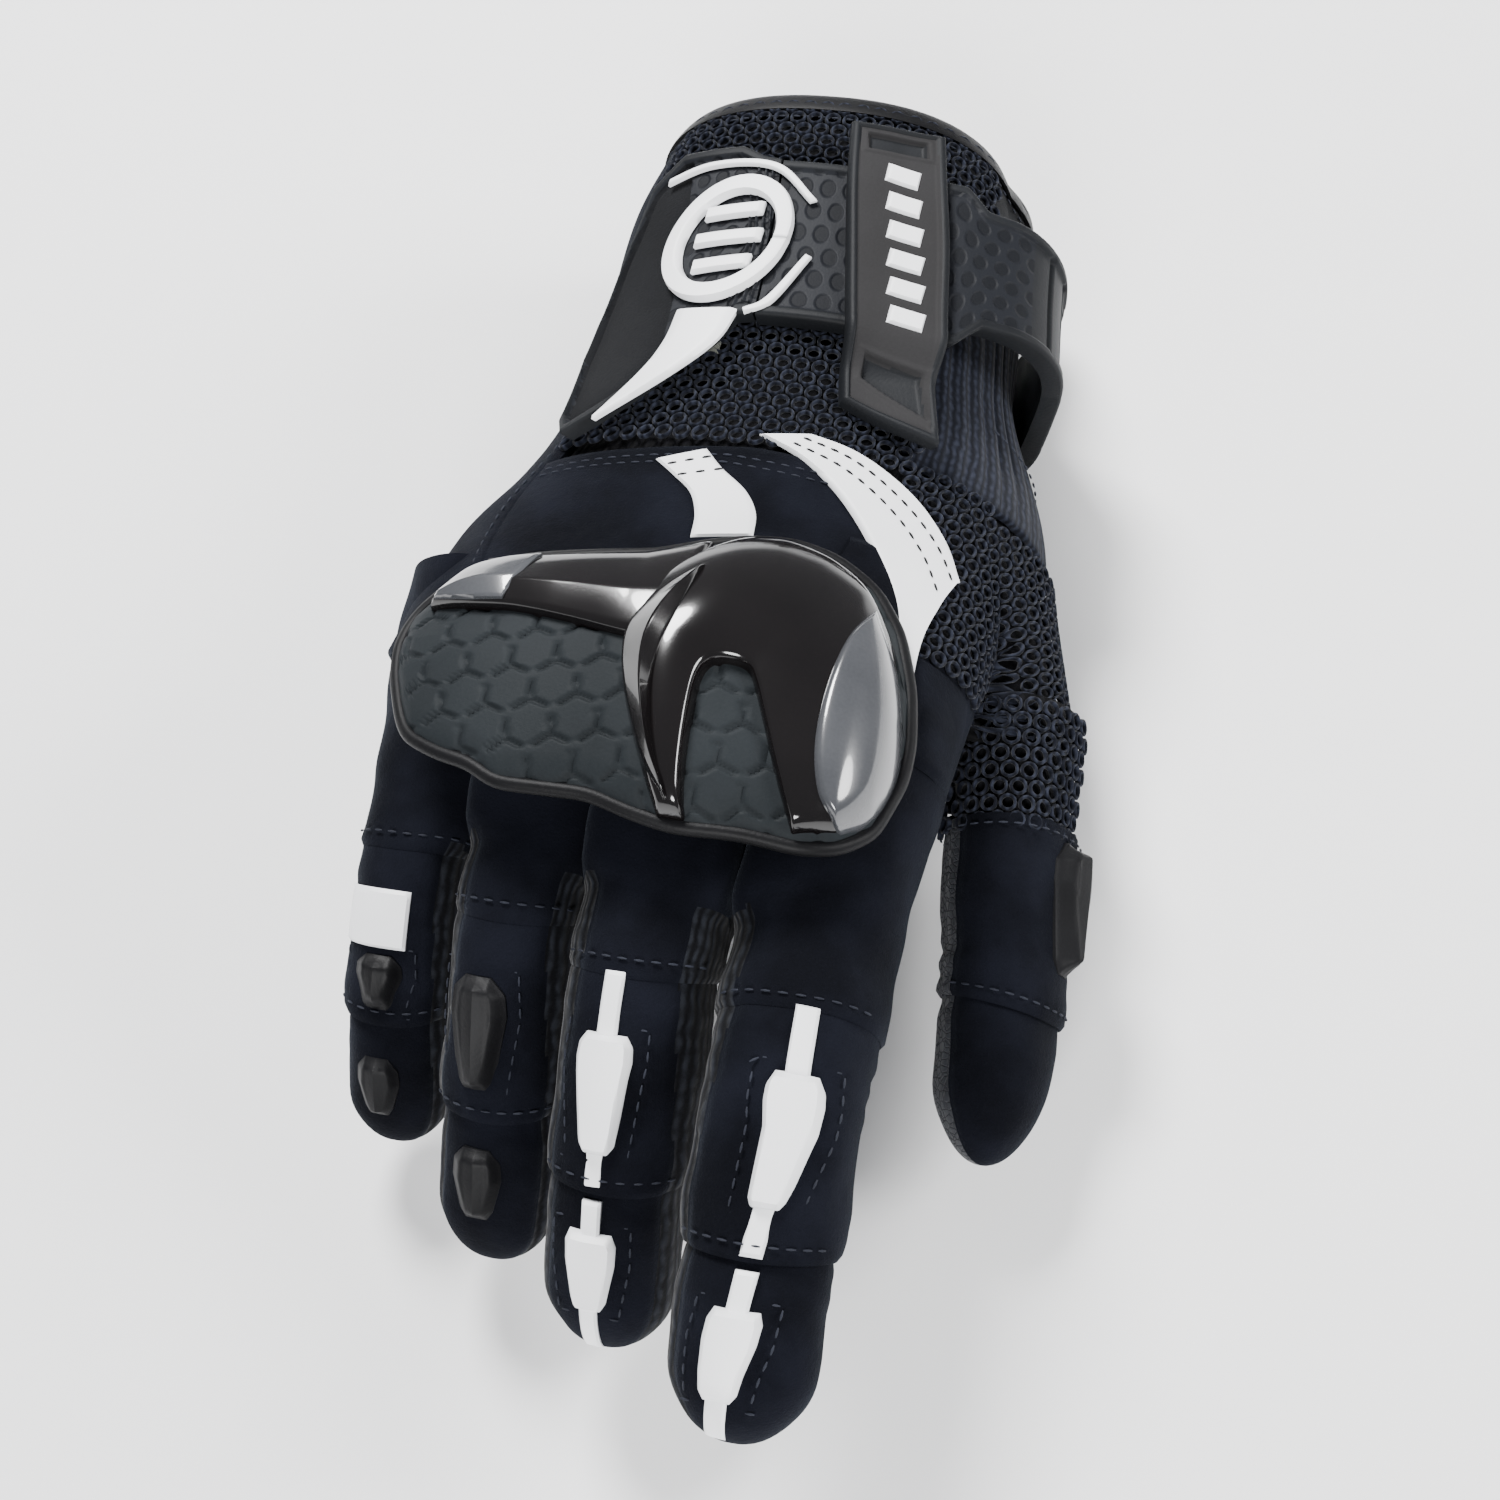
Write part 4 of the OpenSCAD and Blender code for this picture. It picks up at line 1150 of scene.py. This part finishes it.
thumb = paths["thumb"]
THUMB_ROUND = 11.6  # millimetres that the thumb's net is wrapped at
thumb_net = net("thumb_root_net", lambda a, s: -9 < s < 11.5 and abs(a) < 24.5,
                lambda a, s: finger(thumb, s, 180 + np.degrees(a / THUMB_ROUND), 0.15),
                (-34, 34), (-10, 15))
u, v = grid(26, 60)
thumb_root = finger(thumb, mix(-11, 14, u), 360 * v, -1.5)
thumb_backing = sheet("thumb_root_backing", thumb_root, 0.7, [backing_cloth, lining_knit],
                      wrap=True, out=-facing(thumb_root))
for piece in (thumb_net, thumb_backing):
    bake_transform(piece)

# %% [markdown]
# The wrist strap is moulded rubber with a raised rim round a field of small scales. On
# the thumb side it stands off the wrist and narrows in a step, where cross grooves let
# it bend. Its free end is a wing-shaped flap. Both are sheets whose height over the
# skin follows the same loose curve as the measured strap.

# %% Strap
def looseness(t):
    return 6.2 * np.maximum(0, np.cos(np.radians(np.minimum(90, np.abs(t - 23) * 2.3)))) ** 2


def strap_face(y, t, lift):
    return hand(y, t, lift + looseness(t))


def attach(obj, body):
    """Bakes a piece of the flap into its mesh, and puts any other piece on its body"""
    if body == "strap_flap":
        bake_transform(obj)
    else:
        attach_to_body(obj, body)


def strap_sheet(name, node, low_edge, high_edge, t_from, t_to, lift, thick, relief, paint,
                materials, body, rows=260, cols=90):
    u, v = grid(rows, cols)
    t = mix(t_from, t_to, u)
    low_y, high_y = table(t, low_edge), table(t, high_edge)
    y = mix(low_y, high_y, v)
    base = strap_face(y, t, lift)
    run = lengths(base, 0)
    ends = run[-1] - run[:, None] if body == "strap_flap" else run[:, None]
    inward = np.minimum(np.minimum(v, 1 - v) * (high_y - low_y), ends)
    rise = relief(t, y, inward) - 0.7 * (1 - rounded(inward / 0.9))
    obj = sheet(name, strap_face(y, t, lift + rise), 0, materials, angle=60,
                under=strap_face(y, t, lift - thick), paint=paint(t, y, inward)[:-1, :-1])
    attach(obj, body)
    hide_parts(node)


def band_relief(t, y, inward):
    rim = smooth(2.4, 1.8, inward) * 0.65
    grooves = smooth(0.5, 0.9, np.abs(np.mod(t + 2, 9) - 4.5)) * 0.8 - 0.8
    bends = np.where((t > -12) & (t < 24), grooves * smooth(1.2, 2.4, inward), 0)
    return rim + bends + smooth(36, 30, t) * 0.5


def band_paint(t, y, inward):
    return np.where((inward < 2.1) | (t < 26), 1, 0)


BAND_LOW = [(-48, 58), (6, 58), (38, 55), (43, 50), (98, 50)]
BAND_HIGH = [(-48, 81), (38, 81), (43, 85.5), (98, 85.5)]
strap_sheet("wrist_strap_band", "strap_band", BAND_LOW, BAND_HIGH, -48, 97.6, 4.1, 2.6,
            band_relief, band_paint, [strap_rubber, strap_rim_and_recess_shade], "hand")

FLAP_LOW = [(98.3, 50), (104, 49.5), (108, 45.5), (116, 40), (133, 28), (140, 23.5),
            (143, 27), (147, 44)]
FLAP_HIGH = [(98.3, 85.5), (104, 86), (112, 88.5), (131, 88), (139, 82), (144, 68),
             (147, 50)]


def flap_outer(t, y, inward):
    """Where the flap is faced with suede"""
    return (t > 123 + (y - 40) * 0.11) & (inward > 2.4)


def flap_relief(t, y, inward):
    chevron = np.abs(t - 101.5 - np.abs(y - 66) * 0.16)
    lines = sum(0.45 * smooth(0.55, 0.25, np.abs(chevron - k)) for k in (1.2, 3.4))
    return (smooth(2.5, 1.9, inward) * 0.7 - 0.5 * flap_outer(t, y, inward)
            + lines * (t < 107) * smooth(2.4, 3.2, inward))


def flap_paint(t, y, inward):
    return np.where(flap_outer(t, y, inward), 2, np.where(inward < 2.2, 1, 0))


strap_sheet("wrist_strap_flap", "strap_flap", FLAP_LOW, FLAP_HIGH, 98.3, 147, 4.3, 2.1,
            flap_relief, flap_paint, [strap_rubber, strap_rim_and_recess_shade, cuff_suede, foam_grey],
            "strap_flap", rows=200, cols=200)
print("strap pieces", 2)

# %% [markdown]
# Plain white shapes stand on the flap: an oval ring with three bars, a tapered stripe
# and two thin accent lines. They are placed in plan and dropped onto the strap, and each
# is a strip between two edges like the guard's mouldings.

# %% Plain shapes on the strap
def angle_at(x, y):
    x0, z0, _, _ = section(y)
    return np.degrees(np.arctan2(back_height(x, y) - z0, x - x0))


def plan_strip(name, first, second, lift, thick, body="strap_flap", rows=60, cols=10,
               edge=0.5, face=strap_face, closed=False, relief=None,
               paint=None, materials=(white_film,)):
    u, v, x, y, wide, a, b = strip_plan(first, second, rows, cols)
    t = angle_at(x, y)
    inward = np.minimum(v, 1 - v) * wide
    if not closed:
        long = run_along((a + b)[:, 0] / 2)[-1]
        inward = np.minimum(inward, np.minimum(u, 1 - u) * long)
    lift = lift(x, y) if callable(lift) else lift
    extra = relief(x, y, inward) if relief else 0
    kinds = paint(x, y, inward)[:-1, :-1] if paint else None
    top_lift = lift + thick * 0.5 * (rounded(inward / edge) - 1) + extra
    obj = sheet(name, face(y, t, top_lift), 0, materials, wrap=closed, paint=kinds,
                angle=45, under=face(y, t, lift - thick + 0 * x))
    attach(obj, body)
    return obj


turns = np.linspace(0, 2 * math.pi, 25)
RING_X, RING_Y, RING_LEAN = -6.8, 66.5, 0.16
inner, outer = ([(RING_X + r * (math.cos(a) + RING_LEAN * math.sin(a)),
                  RING_Y + 1.52 * r * math.sin(a)) for a in turns] for r in (6.9, 9.4))
ring = plan_strip("flap_oval_ring", inner, outer, 6.1, 1.5, rows=120, closed=True)
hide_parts("strap_emblem")
for k, (y0, half) in enumerate(((60.5, 4.4), (66.5, 5.1), (72.5, 4.4))):
    plan_strip(f"flap_ring_bar_{k + 1}",
               [(RING_X - half, y0 - 1.8), (RING_X + half, y0 - 0.2)],
               [(RING_X - half, y0 + 0.9), (RING_X + half, y0 + 2.5)], 5.8, 1.2, rows=20)
plan_strip("flap_tapered_stripe", [(-11.8, 50.5), (-12.6, 43.5), (-15.4, 35.5), (-20.6, 25.8)],
           [(-2.2, 50.8), (-4.4, 43.2), (-10.6, 35), (-20.2, 25.5)], 5.5, 1.1)
plan_strip("flap_accent_top", [(-19.5, 80.6), (-12, 83.2), (-2.5, 82.6), (4.2, 75.6)],
           [(-19.3, 81.8), (-12, 84.4), (-1.9, 83.8), (5.2, 76.2)], 5.5, 0.9, edge=0.3)
plan_strip("flap_accent_side", [(5.6, 64), (1.5, 53.5), (-1.6, 50.6)],
           [(6.6, 63.4), (2.6, 52.6), (-1.2, 49.6)], 5.5, 0.9, edge=0.3)

# %% [markdown]
# A moulded tab crosses the strap and is sewn to the glove at both ends. It has a thin
# raised rim, a sunk rectangle at the top, a sunk wedge at its slanted end, and a plain
# row of white bars between them.

# %% Keeper tab
def keeper_lift(x, y):
    return 3.2 + 3.4 * smooth(40, 50, y)


TAB_BOX = [(10.2, 91.9), (18.6, 91.9), (19.2, 88.3), (10.8, 88.3)]
TAB_WEDGE = [(17.9, 44.5), (26.4, 42.6), (28.4, 33.2), (18.5, 40.2)]


def depth_inside(x, y, corners):
    """Millimetres inside a four-sided outline whose corners go clockwise"""
    out = np.full_like(x, 1e3)
    for (ax, ay), (bx, by) in zip(corners, corners[1:] + corners[:1]):
        long_ = math.hypot(bx - ax, by - ay)
        out = np.minimum(out, ((y - ay) * (ax - bx) + (x - ax) * (by - ay)) / long_)
    return out


def sunk(x, y):
    return np.maximum(depth_inside(x, y, TAB_BOX), depth_inside(x, y, TAB_WEDGE))


def keeper_relief(x, y, inward):
    deep = sunk(x, y)
    return (0.55 * smooth(1.5, 1.0, inward) - 0.8 * smooth(-0.1, 0.5, deep)
            + 0.25 * smooth(-1.2, -0.5, deep) * smooth(0.1, -0.2, deep))


# The rim takes the darker rim rubber as its own colour; the sunk rectangle and wedge take it as
# painted shade in the recesses.
def keeper_rim_and_recess_shade(x, y, inward):
    return np.where((inward < 1.3) | (sunk(x, y) > 0.2), 1, 0)


keeper = plan_strip("strap_keeper_tab",
                    [(7.4, 94.2), (8.8, 82), (10.6, 70), (13.6, 52), (16.6, 34.5)],
                    [(20.6, 94.2), (22.4, 82), (24.2, 70), (27, 50), (30.4, 28)],
                    keeper_lift, 2.0, "hand", rows=220, cols=72, edge=0.8,
                    relief=keeper_relief, paint=keeper_rim_and_recess_shade,
                    materials=[keeper_rubber, strap_rim_and_recess_shade])
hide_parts("strap_keeper")
for k in range(6):
    y0 = 83.5 - k * 6.2
    x0 = 14.4 + (94 - y0) / 64 * 10.6
    plan_strip(f"keeper_bar_{k + 1}", [(x0 - 2.1, y0 - 1.9), (x0 + 2.6, y0 - 2.9)],
               [(x0 - 2.1, y0 + 2.1), (x0 + 2.6, y0 + 1.1)],
               lambda x, y: keeper_lift(x, y) + 0.55, 1.0, "hand", rows=16)

# %% [markdown]
# Reflective film on the back of the hand is a thin glossy layer, cut to an arc that runs
# down beside the guard and a short curved band above it.

# %% Reflective film of the hand
arc_film = plan_strip("film_arc",
                      [(5.2, 26.2), (13, 22), (21, 15), (28.2, 5.2), (33.2, -5),
                       (35.6, -17), (37.6, -30.6)],
                      [(13.2, 27.6), (22.5, 25.2), (32, 19.6), (38.2, 13), (41.2, 7),
                       (41.5, 6.1), (40.9, 5.1), (39.3, -1), (37.8, -12), (38.6, -31)],
                      1.3, 1.0, "hand", rows=110, cols=24, edge=0.4, face=hand)
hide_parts("reflective_arc")
notch_film = plan_strip("film_notch",
                        [(-10.8, 18.6), (-7, 15.2), (-3.2, 11.4), (-1.2, 6.4), (-0.6, 1)],
                        [(-2.8, 21.8), (0.8, 17.6), (5.6, 13.2), (8.4, 8.4), (9.2, 3)],
                        1.15, 0.9, "hand", cols=16, edge=0.4, face=hand)
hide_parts("reflective_notch")
print("film pieces", 2)

# %% [markdown]
# Moulded plates and film strips lie on the backs of the fingers. Each is a strip down
# the finger with a width table: a coffin shape with sloping sides for a plate, a plain
# ribbon for a strip. It bends with the same blend as the skin under it.

# %% Plates and strips of the fingers
def plate(title, name, widths, offset, height, material, slope,
          crease=0.0):
    path = paths[name]
    widths = np.array(widths, float)
    s0, s1 = widths[0, 0], widths[-1, 0]
    rows, cols = max(12, round((s1 - s0) / 0.45)), 30
    u, v = grid(rows, cols)
    s = mix(s0, s1, u)
    half = table(s, widths)
    x = (2 * v - 1) * half + table(s, offset)
    inward = np.minimum(np.minimum(v, 1 - v) * 2 * half, np.minimum(s - s0, s1 - s))
    raise_ = height * smooth(0, 1, np.clip(inward / slope, 0, 1) * 0.82 + 0.09)
    middle = np.clip(1 - np.abs(2 * v - 1) * 2.2, 0, 1)
    raise_ = raise_ + crease * middle * smooth(0, slope, inward)
    obj = sheet(title, finger_top(path, s, x, 0.35 + raise_), 0, [material], angle=32,
                under=finger_top(path, s, x, -0.6 + 0 * s))
    return stick(obj)


INDEX_LINE = [(44, 2.6), (62, 3.4), (80, 0.6), (95, -1.6), (107, -2.2)]
MIDDLE_LINE = [(44, -2.0), (60, -2.2), (76, -1.6), (104, -1.0)]
RING_LINE, LITTLE_LINE = [(44, -3.2), (70, -2.0)], [(40, -1.8), (60, -1.2)]
plates = [
    plate("index_strip_upper", "index", [(46.4, 1.8), (56, 1.8)],
          INDEX_LINE, 0.5, white_film, 0.4),
    plate("index_long_plate", "index",
          [(54.6, 3.2), (56.2, 4.3), (58, 4.45), (72.2, 2.9), (73.6, 2.2)],
          INDEX_LINE, 2.0, white_film, 0.9),
    plate("index_strip_lower", "index", [(73, 1.8), (79.4, 1.7)],
          INDEX_LINE, 0.5, white_film, 0.4),
    plate("index_strip_tip", "index", [(80.9, 1.7), (105.8, 1.6)],
          INDEX_LINE, 0.45, white_film, 0.4),
    plate("index_tip_plate", "index",
          [(85.6, 3.4), (87.4, 4.1), (90.5, 4.05), (98, 2.9), (99.3, 2.0)],
          INDEX_LINE, 1.6, white_film, 0.8),
    plate("middle_strip_upper", "middle", [(46.0, 1.6), (54.5, 1.6)],
          MIDDLE_LINE, 0.5, white_film, 0.4),
    plate("middle_long_plate", "middle",
          [(53.6, 3.2), (55.2, 4.3), (57.5, 4.5), (70.5, 2.9), (72, 2.0)],
          MIDDLE_LINE, 1.9, white_film, 0.9),
    plate("middle_strip_lower", "middle", [(71.5, 1.6), (76.2, 1.5)],
          MIDDLE_LINE, 0.5, white_film, 0.4),
    plate("middle_strip_tip", "middle", [(77.8, 1.5), (103.5, 1.4)],
          MIDDLE_LINE, 0.45, white_film, 0.4),
    plate("middle_tip_plate", "middle",
          [(82, 3.4), (83.8, 4.1), (87, 4.0), (93.5, 2.8), (95, 1.9)],
          MIDDLE_LINE, 1.5, white_film, 0.8),
    plate("ring_long_plate", "ring",
          [(49, 2.2), (51.5, 4.6), (55, 5.0), (66, 3.2), (67.6, 2.0)],
          RING_LINE, 2.0, piping_rubber, 2.0, crease=0.7),
    plate("ring_tip_plate", "ring",
          [(76, 2.2), (78, 4.0), (81, 4.2), (86.5, 2.8), (88, 1.8)],
          [(70, -1.6), (90, -1.0)], 1.5, piping_rubber, 1.6, crease=0.5),
    plate("little_long_plate", "little",
          [(48.6, 2.2), (50.2, 4.0), (51.8, 4.2), (56, 2.9), (57, 2.0)],
          LITTLE_LINE, 1.9, piping_rubber, 2.0, crease=0.7),
    plate("little_tip_plate", "little",
          [(63.5, 2.0), (65.5, 3.6), (68, 3.8), (72.5, 2.5), (74, 1.6)],
          [(60, -1.2), (80, -0.6)], 1.4, piping_rubber, 1.5, crease=0.5),
    plate("little_film_patch", "little", [(38.9, 6.2), (47.4, 6.0)],
          [(34, -3.4), (48, -3.2)], 0.45,
          white_film, 0.4),
    plate("thumb_moulded_wedge", "thumb",
          [(13, 2.6), (16.5, 5.2), (20.5, 5.4), (33, 2.9), (35, 1.6)],
          [(10, 2.5), (30, 1.5)], 3.0, piping_rubber, 2.4, crease=0.8)]
for obj, nodes in zip((plates[1], plates[4], plates[6], plates[9], *plates[10:]),
                      ("index_mid_guard", "index_tip_guard", "middle_mid_guard", "middle_tip_guard",
                       "ring_mid_guard", "ring_tip_guard", "little_mid_guard", "little_tip_guard",
                       "little_patch", "thumb_guard")):
    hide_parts(nodes)
print("plates and strips", len(plates))

# %% [markdown]
# Thread is what makes a sewn seam believable. A stitch is one small stretched ball of a few dozen
# faces, laid along its seam and half sunk in the cloth. Each run is one mesh; the runs on the hand
# ride the hand's body.

# %% Stitches
STITCH_PITCH, STITCH_LONG, STITCH_THICK = 2.5, 1.75, 0.42


def stitch_run(bm, line, out):
    run = run_along(line)
    count = max(1, int(run[-1] / STITCH_PITCH))
    at_ = (np.arange(count) + 0.5) * run[-1] / count
    places = np.stack([np.interp(at_, run, line[:, k]) for k in range(3)], -1)
    ways = np.stack([np.interp(at_, run, np.gradient(line[:, k])) for k in range(3)], -1)
    outs = np.stack([np.interp(at_, run, out[:, k]) for k in range(3)], -1)
    for place, way, up_ in zip(places, ways, outs):
        way, up_ = Vector(way).normalized(), Vector(up_).normalized()
        side = way.cross(up_).normalized()
        up_ = side.cross(way)
        half = [size * 0.0005 for size in (STITCH_LONG, STITCH_THICK, STITCH_THICK)]
        turned = Matrix((way, side, up_)).transposed().to_4x4()
        bmesh.ops.create_uvsphere(
            bm, u_segments=6, v_segments=4, radius=1,
            matrix=Matrix.Translation(Vector(to_scene(place))) @ turned
            @ Matrix.Diagonal((*half, 1)))
    return count


def sewn(title, runs, thread):
    bm = bmesh.new()
    total = sum(stitch_run(bm, line, out) for line, out in runs)
    obj = finish_mesh(bm, title, [thread])
    print(title, total, "stitches")
    return obj


def seam_on(face, *place):
    """A seam on a form, and its outward directions; the last value is its lift"""
    high, low = face(*place), face(*place[:-1], place[-1] - 0.5)
    return high, high - low


def hand_line(points, gap):
    """A seam on the hand through plan points"""
    route = spline(points, 60)
    return seam_on(hand, route[:, 1], angle_at(route[:, 0], route[:, 1]), gap)


film_runs = [hand_line(line, 1.38) for line in (
    ((12, 26.4), (21.5, 23.2), (30.4, 17.2), (36.6, 10.9), (40.1, 4.8)),
    ((10.6, 25), (20.2, 21), (28.7, 14.8), (34.7, 8), (38.4, 1)))]
film_runs += [hand_line(line, 1.22)
              for line in (((-8.8, 17), (-0.8, 20)), ((-6.6, 14.6), (1.8, 17.4)))]
on_hand(sewn("film_stitches", film_runs, black_thread), "binding")
angles = np.linspace(42, 147, 80)
bow = 5 * np.abs((angles - 92) / 105)
runs = [seam_on(hand, *place) for place in (
    (21.0 - bow, angles, 0.5), (19.3 - bow, angles, 0.5),
    (np.linspace(-18, 100, 80), np.full(80, 151.0), 0.3),
    (np.linspace(-20, 20, 60), np.full(60, 39.6), 0.5),
    (np.full(60, 44.0), np.linspace(-18, 20, 60), 0.3),
    (np.linspace(-12, 50, 60), np.full(60, 202.0), 0.2),
    (np.full(60, 49.5), np.linspace(204, 296, 60), 0.2),
    (np.full(60, 100.5), np.linspace(-18, 338, 60), 0.3))]
on_hand(sewn("hand_stitches", runs, navy_thread), "binding")


def plate_outline(path, widths, offset, gap):
    widths = np.array(widths, float)
    s = np.linspace(widths[0, 0] - gap * 0.6, widths[-1, 0] + gap * 0.6, 40)
    half = table(s, widths) + gap
    s_all = np.concatenate([s, s[::-1], s[:1]])
    x_all = np.concatenate([half, -half[::-1], half[:1]]) + table(s_all, offset)
    high, low = (finger_top(path, s_all, x_all, lift) for lift in (0.45, 0.0))
    return high, high - low


round_t = np.linspace(28, 152, 40)
for name in BENDS:
    for seam, place in enumerate(("middle", "end")):
        line = seam_on(finger, paths[name], seam_curve(paths[name], seam, round_t) - 1.9,
                       round_t, 0.75)
        stick(sewn(f"{name}_{place}_seam_stitches", [line], navy_thread))
for name, part, widths, offset in (
        ("index", 1, [(54.6, 4.5), (58, 4.7), (73.4, 3.1)], INDEX_LINE),
        ("index", 2, [(85.6, 4.2), (90.5, 4.3), (99, 3.0)], INDEX_LINE),
        ("middle", 1, [(53.6, 4.5), (57.5, 4.7), (72, 3.0)], MIDDLE_LINE),
        ("middle", 2, [(82, 4.2), (87, 4.2), (95, 2.9)], MIDDLE_LINE),
        ("ring", 1, [(49, 4.6), (55, 5), (66.6, 3.2)], RING_LINE),
        ("little", 1, [(48.6, 4.0), (51.8, 4.2), (56.5, 2.9)], LITTLE_LINE)):
    obj = sewn(f"{name}_{('', 'middle', 'tip')[part]}_plate_stitches",
               [plate_outline(paths[name], widths, offset, 2.1)], navy_thread)
    stick(obj)
turn_t = np.linspace(20, 200, 60)
thumb_runs = [seam_on(finger, thumb, s, t, 0.75) for s, t in (
    (np.full(60, 12.4), np.linspace(-160, 198, 60)),
    (seam_curve(thumb, 0, turn_t) - 2.0, turn_t))]
stick(sewn("thumb_stitches", thumb_runs, navy_thread))

# %% [markdown]
# The rim of the cuff is bound: a folded tape is wrapped round the cut edge and sewn
# through. Its outer face, the fold and the inner face are one strip bent round the edge.

# %% Cuff binding and lining
u, v = grid(20, 150)
turn_b = mix(-10, 190, u)
over, out = np.sin(np.radians(turn_b)), np.cos(np.radians(turn_b))
rim_face = hand(104.4 + 2.6 * over - 2.0 * np.abs(out) ** 3, 360 * v, -0.9 + 1.75 * out)
rim = sheet("cuff_bound_rim", rim_face, 0.6, [piping_rubber], wrap=True)
on_hand(rim, "binding", "cuff_binding")
u, v = grid(30, 120)
lining_lift = -3.0 + 0.25 * np.sin(np.radians(360 * v * 30))
lining = sheet("cuff_knit_lining", hand(mix(40, 103.5, u), 360 * v, lining_lift), 0.7,
               [lining_knit], wrap=True)
on_hand(lining, "lining", "wrist_lining")
print("cuff rim and lining")

# %% [markdown]
# Four small pieces finish the palm and the strap: the two halves of the hook-and-loop
# closure, a quilted pad at the root of the fingers, and the hard slider on the heel of
# the hand, which is a plate with rounded corners that the glove rests on.

# %% Closure patches, palm pad and slider
def patch_sheet(name, ys, angles, lift, height, materials, edge, relief=None, rows=60,
                cols=60):
    u, v = grid(rows, cols)
    y, t = mix(*ys, u), mix(*angles, v)
    base = hand(y, t, lift)
    inward = inset(base)
    rise = height * rounded(inward / edge)
    if relief is not None:
        rise = rise + relief(inward, v)
    return sheet(name, hand(y, t, lift + rise), 0, materials, under=base)


loop = patch_sheet("closure_loop_patch", (44, 84), (110, 138), 0.3, 0.8,
                   [loop_pile, backing_cloth], 0.8)
on_hand(loop, "lining", "loop_patch")
hook = patch_sheet("closure_hook_patch", (46, 80), (112, 134), 1.4, 0.5,
                   [loop_pile, backing_cloth], 0.6)
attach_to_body(hook, "strap_flap")
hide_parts("hook_patch")


def quilting(inward, v):
    lines = np.minimum(np.abs(np.mod(v * 5, 1) - 0.5) * 2, 1)
    seams = smooth(0.34, 0.0, 1 - lines) * smooth(1.5, 3, inward)
    return -0.9 * seams + 0.5 * smooth(2, 7, inward)


pad = patch_sheet("quilted_palm_pad", (-6, 16), (232, 296), 0.35, 2.0, [palm_leather], 2.6,
                  quilting, rows=70, cols=150)
on_hand(pad, "leather", "palm_pad")

SLIDER_SIZE, SLIDER_CENTRE, SLIDER_THICK, SLIDER_CORNER = (32, 24), (-8, 37), 2.3, 7
CORNER_STEPS = 8
bm = bmesh.new()
rings = []
for inwards, height in ((0.9, 0.0), (0.25, 0.35), (0.0, 0.95), (0.0, 1.55), (0.35, 2.05),
                        (1.1, SLIDER_THICK)):
    corner, points = SLIDER_CORNER - inwards, []
    for k, sides in enumerate(((1, 1), (-1, 1), (-1, -1), (1, -1))):
        cx, cy = (SLIDER_CENTRE[i] + sides[i] * (SLIDER_SIZE[i] / 2 - SLIDER_CORNER)
                  for i in (0, 1))
        for j in range(CORNER_STEPS + 1):
            angle = math.radians(90 * k + 90 * j / CORNER_STEPS)
            points.append(bm.verts.new(to_scene((cx + corner * math.cos(angle),
                                                 cy + corner * math.sin(angle), height))))
    rings.append(points)
for low, high in zip(rings, rings[1:]):
    for k in range(len(low)):
        after = (k + 1) % len(low)
        bm.faces.new((low[k], low[after], high[after], high[k]))
bm.faces.new(rings[0][::-1])
bm.faces.new(rings[-1])
slider = finish_mesh(bm, "moulded_palm_slider", [guard_rubber])
on_hand(slider, "gloss_shell", "palm_slider")
print("palm and closure pieces")

# %% [markdown]
# One solid of the measured model stays as it is: the foam under the knuckle guard, which nothing
# shows. It only gets its material.

# %% Finish of the solid that stays
for slot in frame["nodes"]["knuckle_foam"].material_slots:
    slot.material = foam_grey
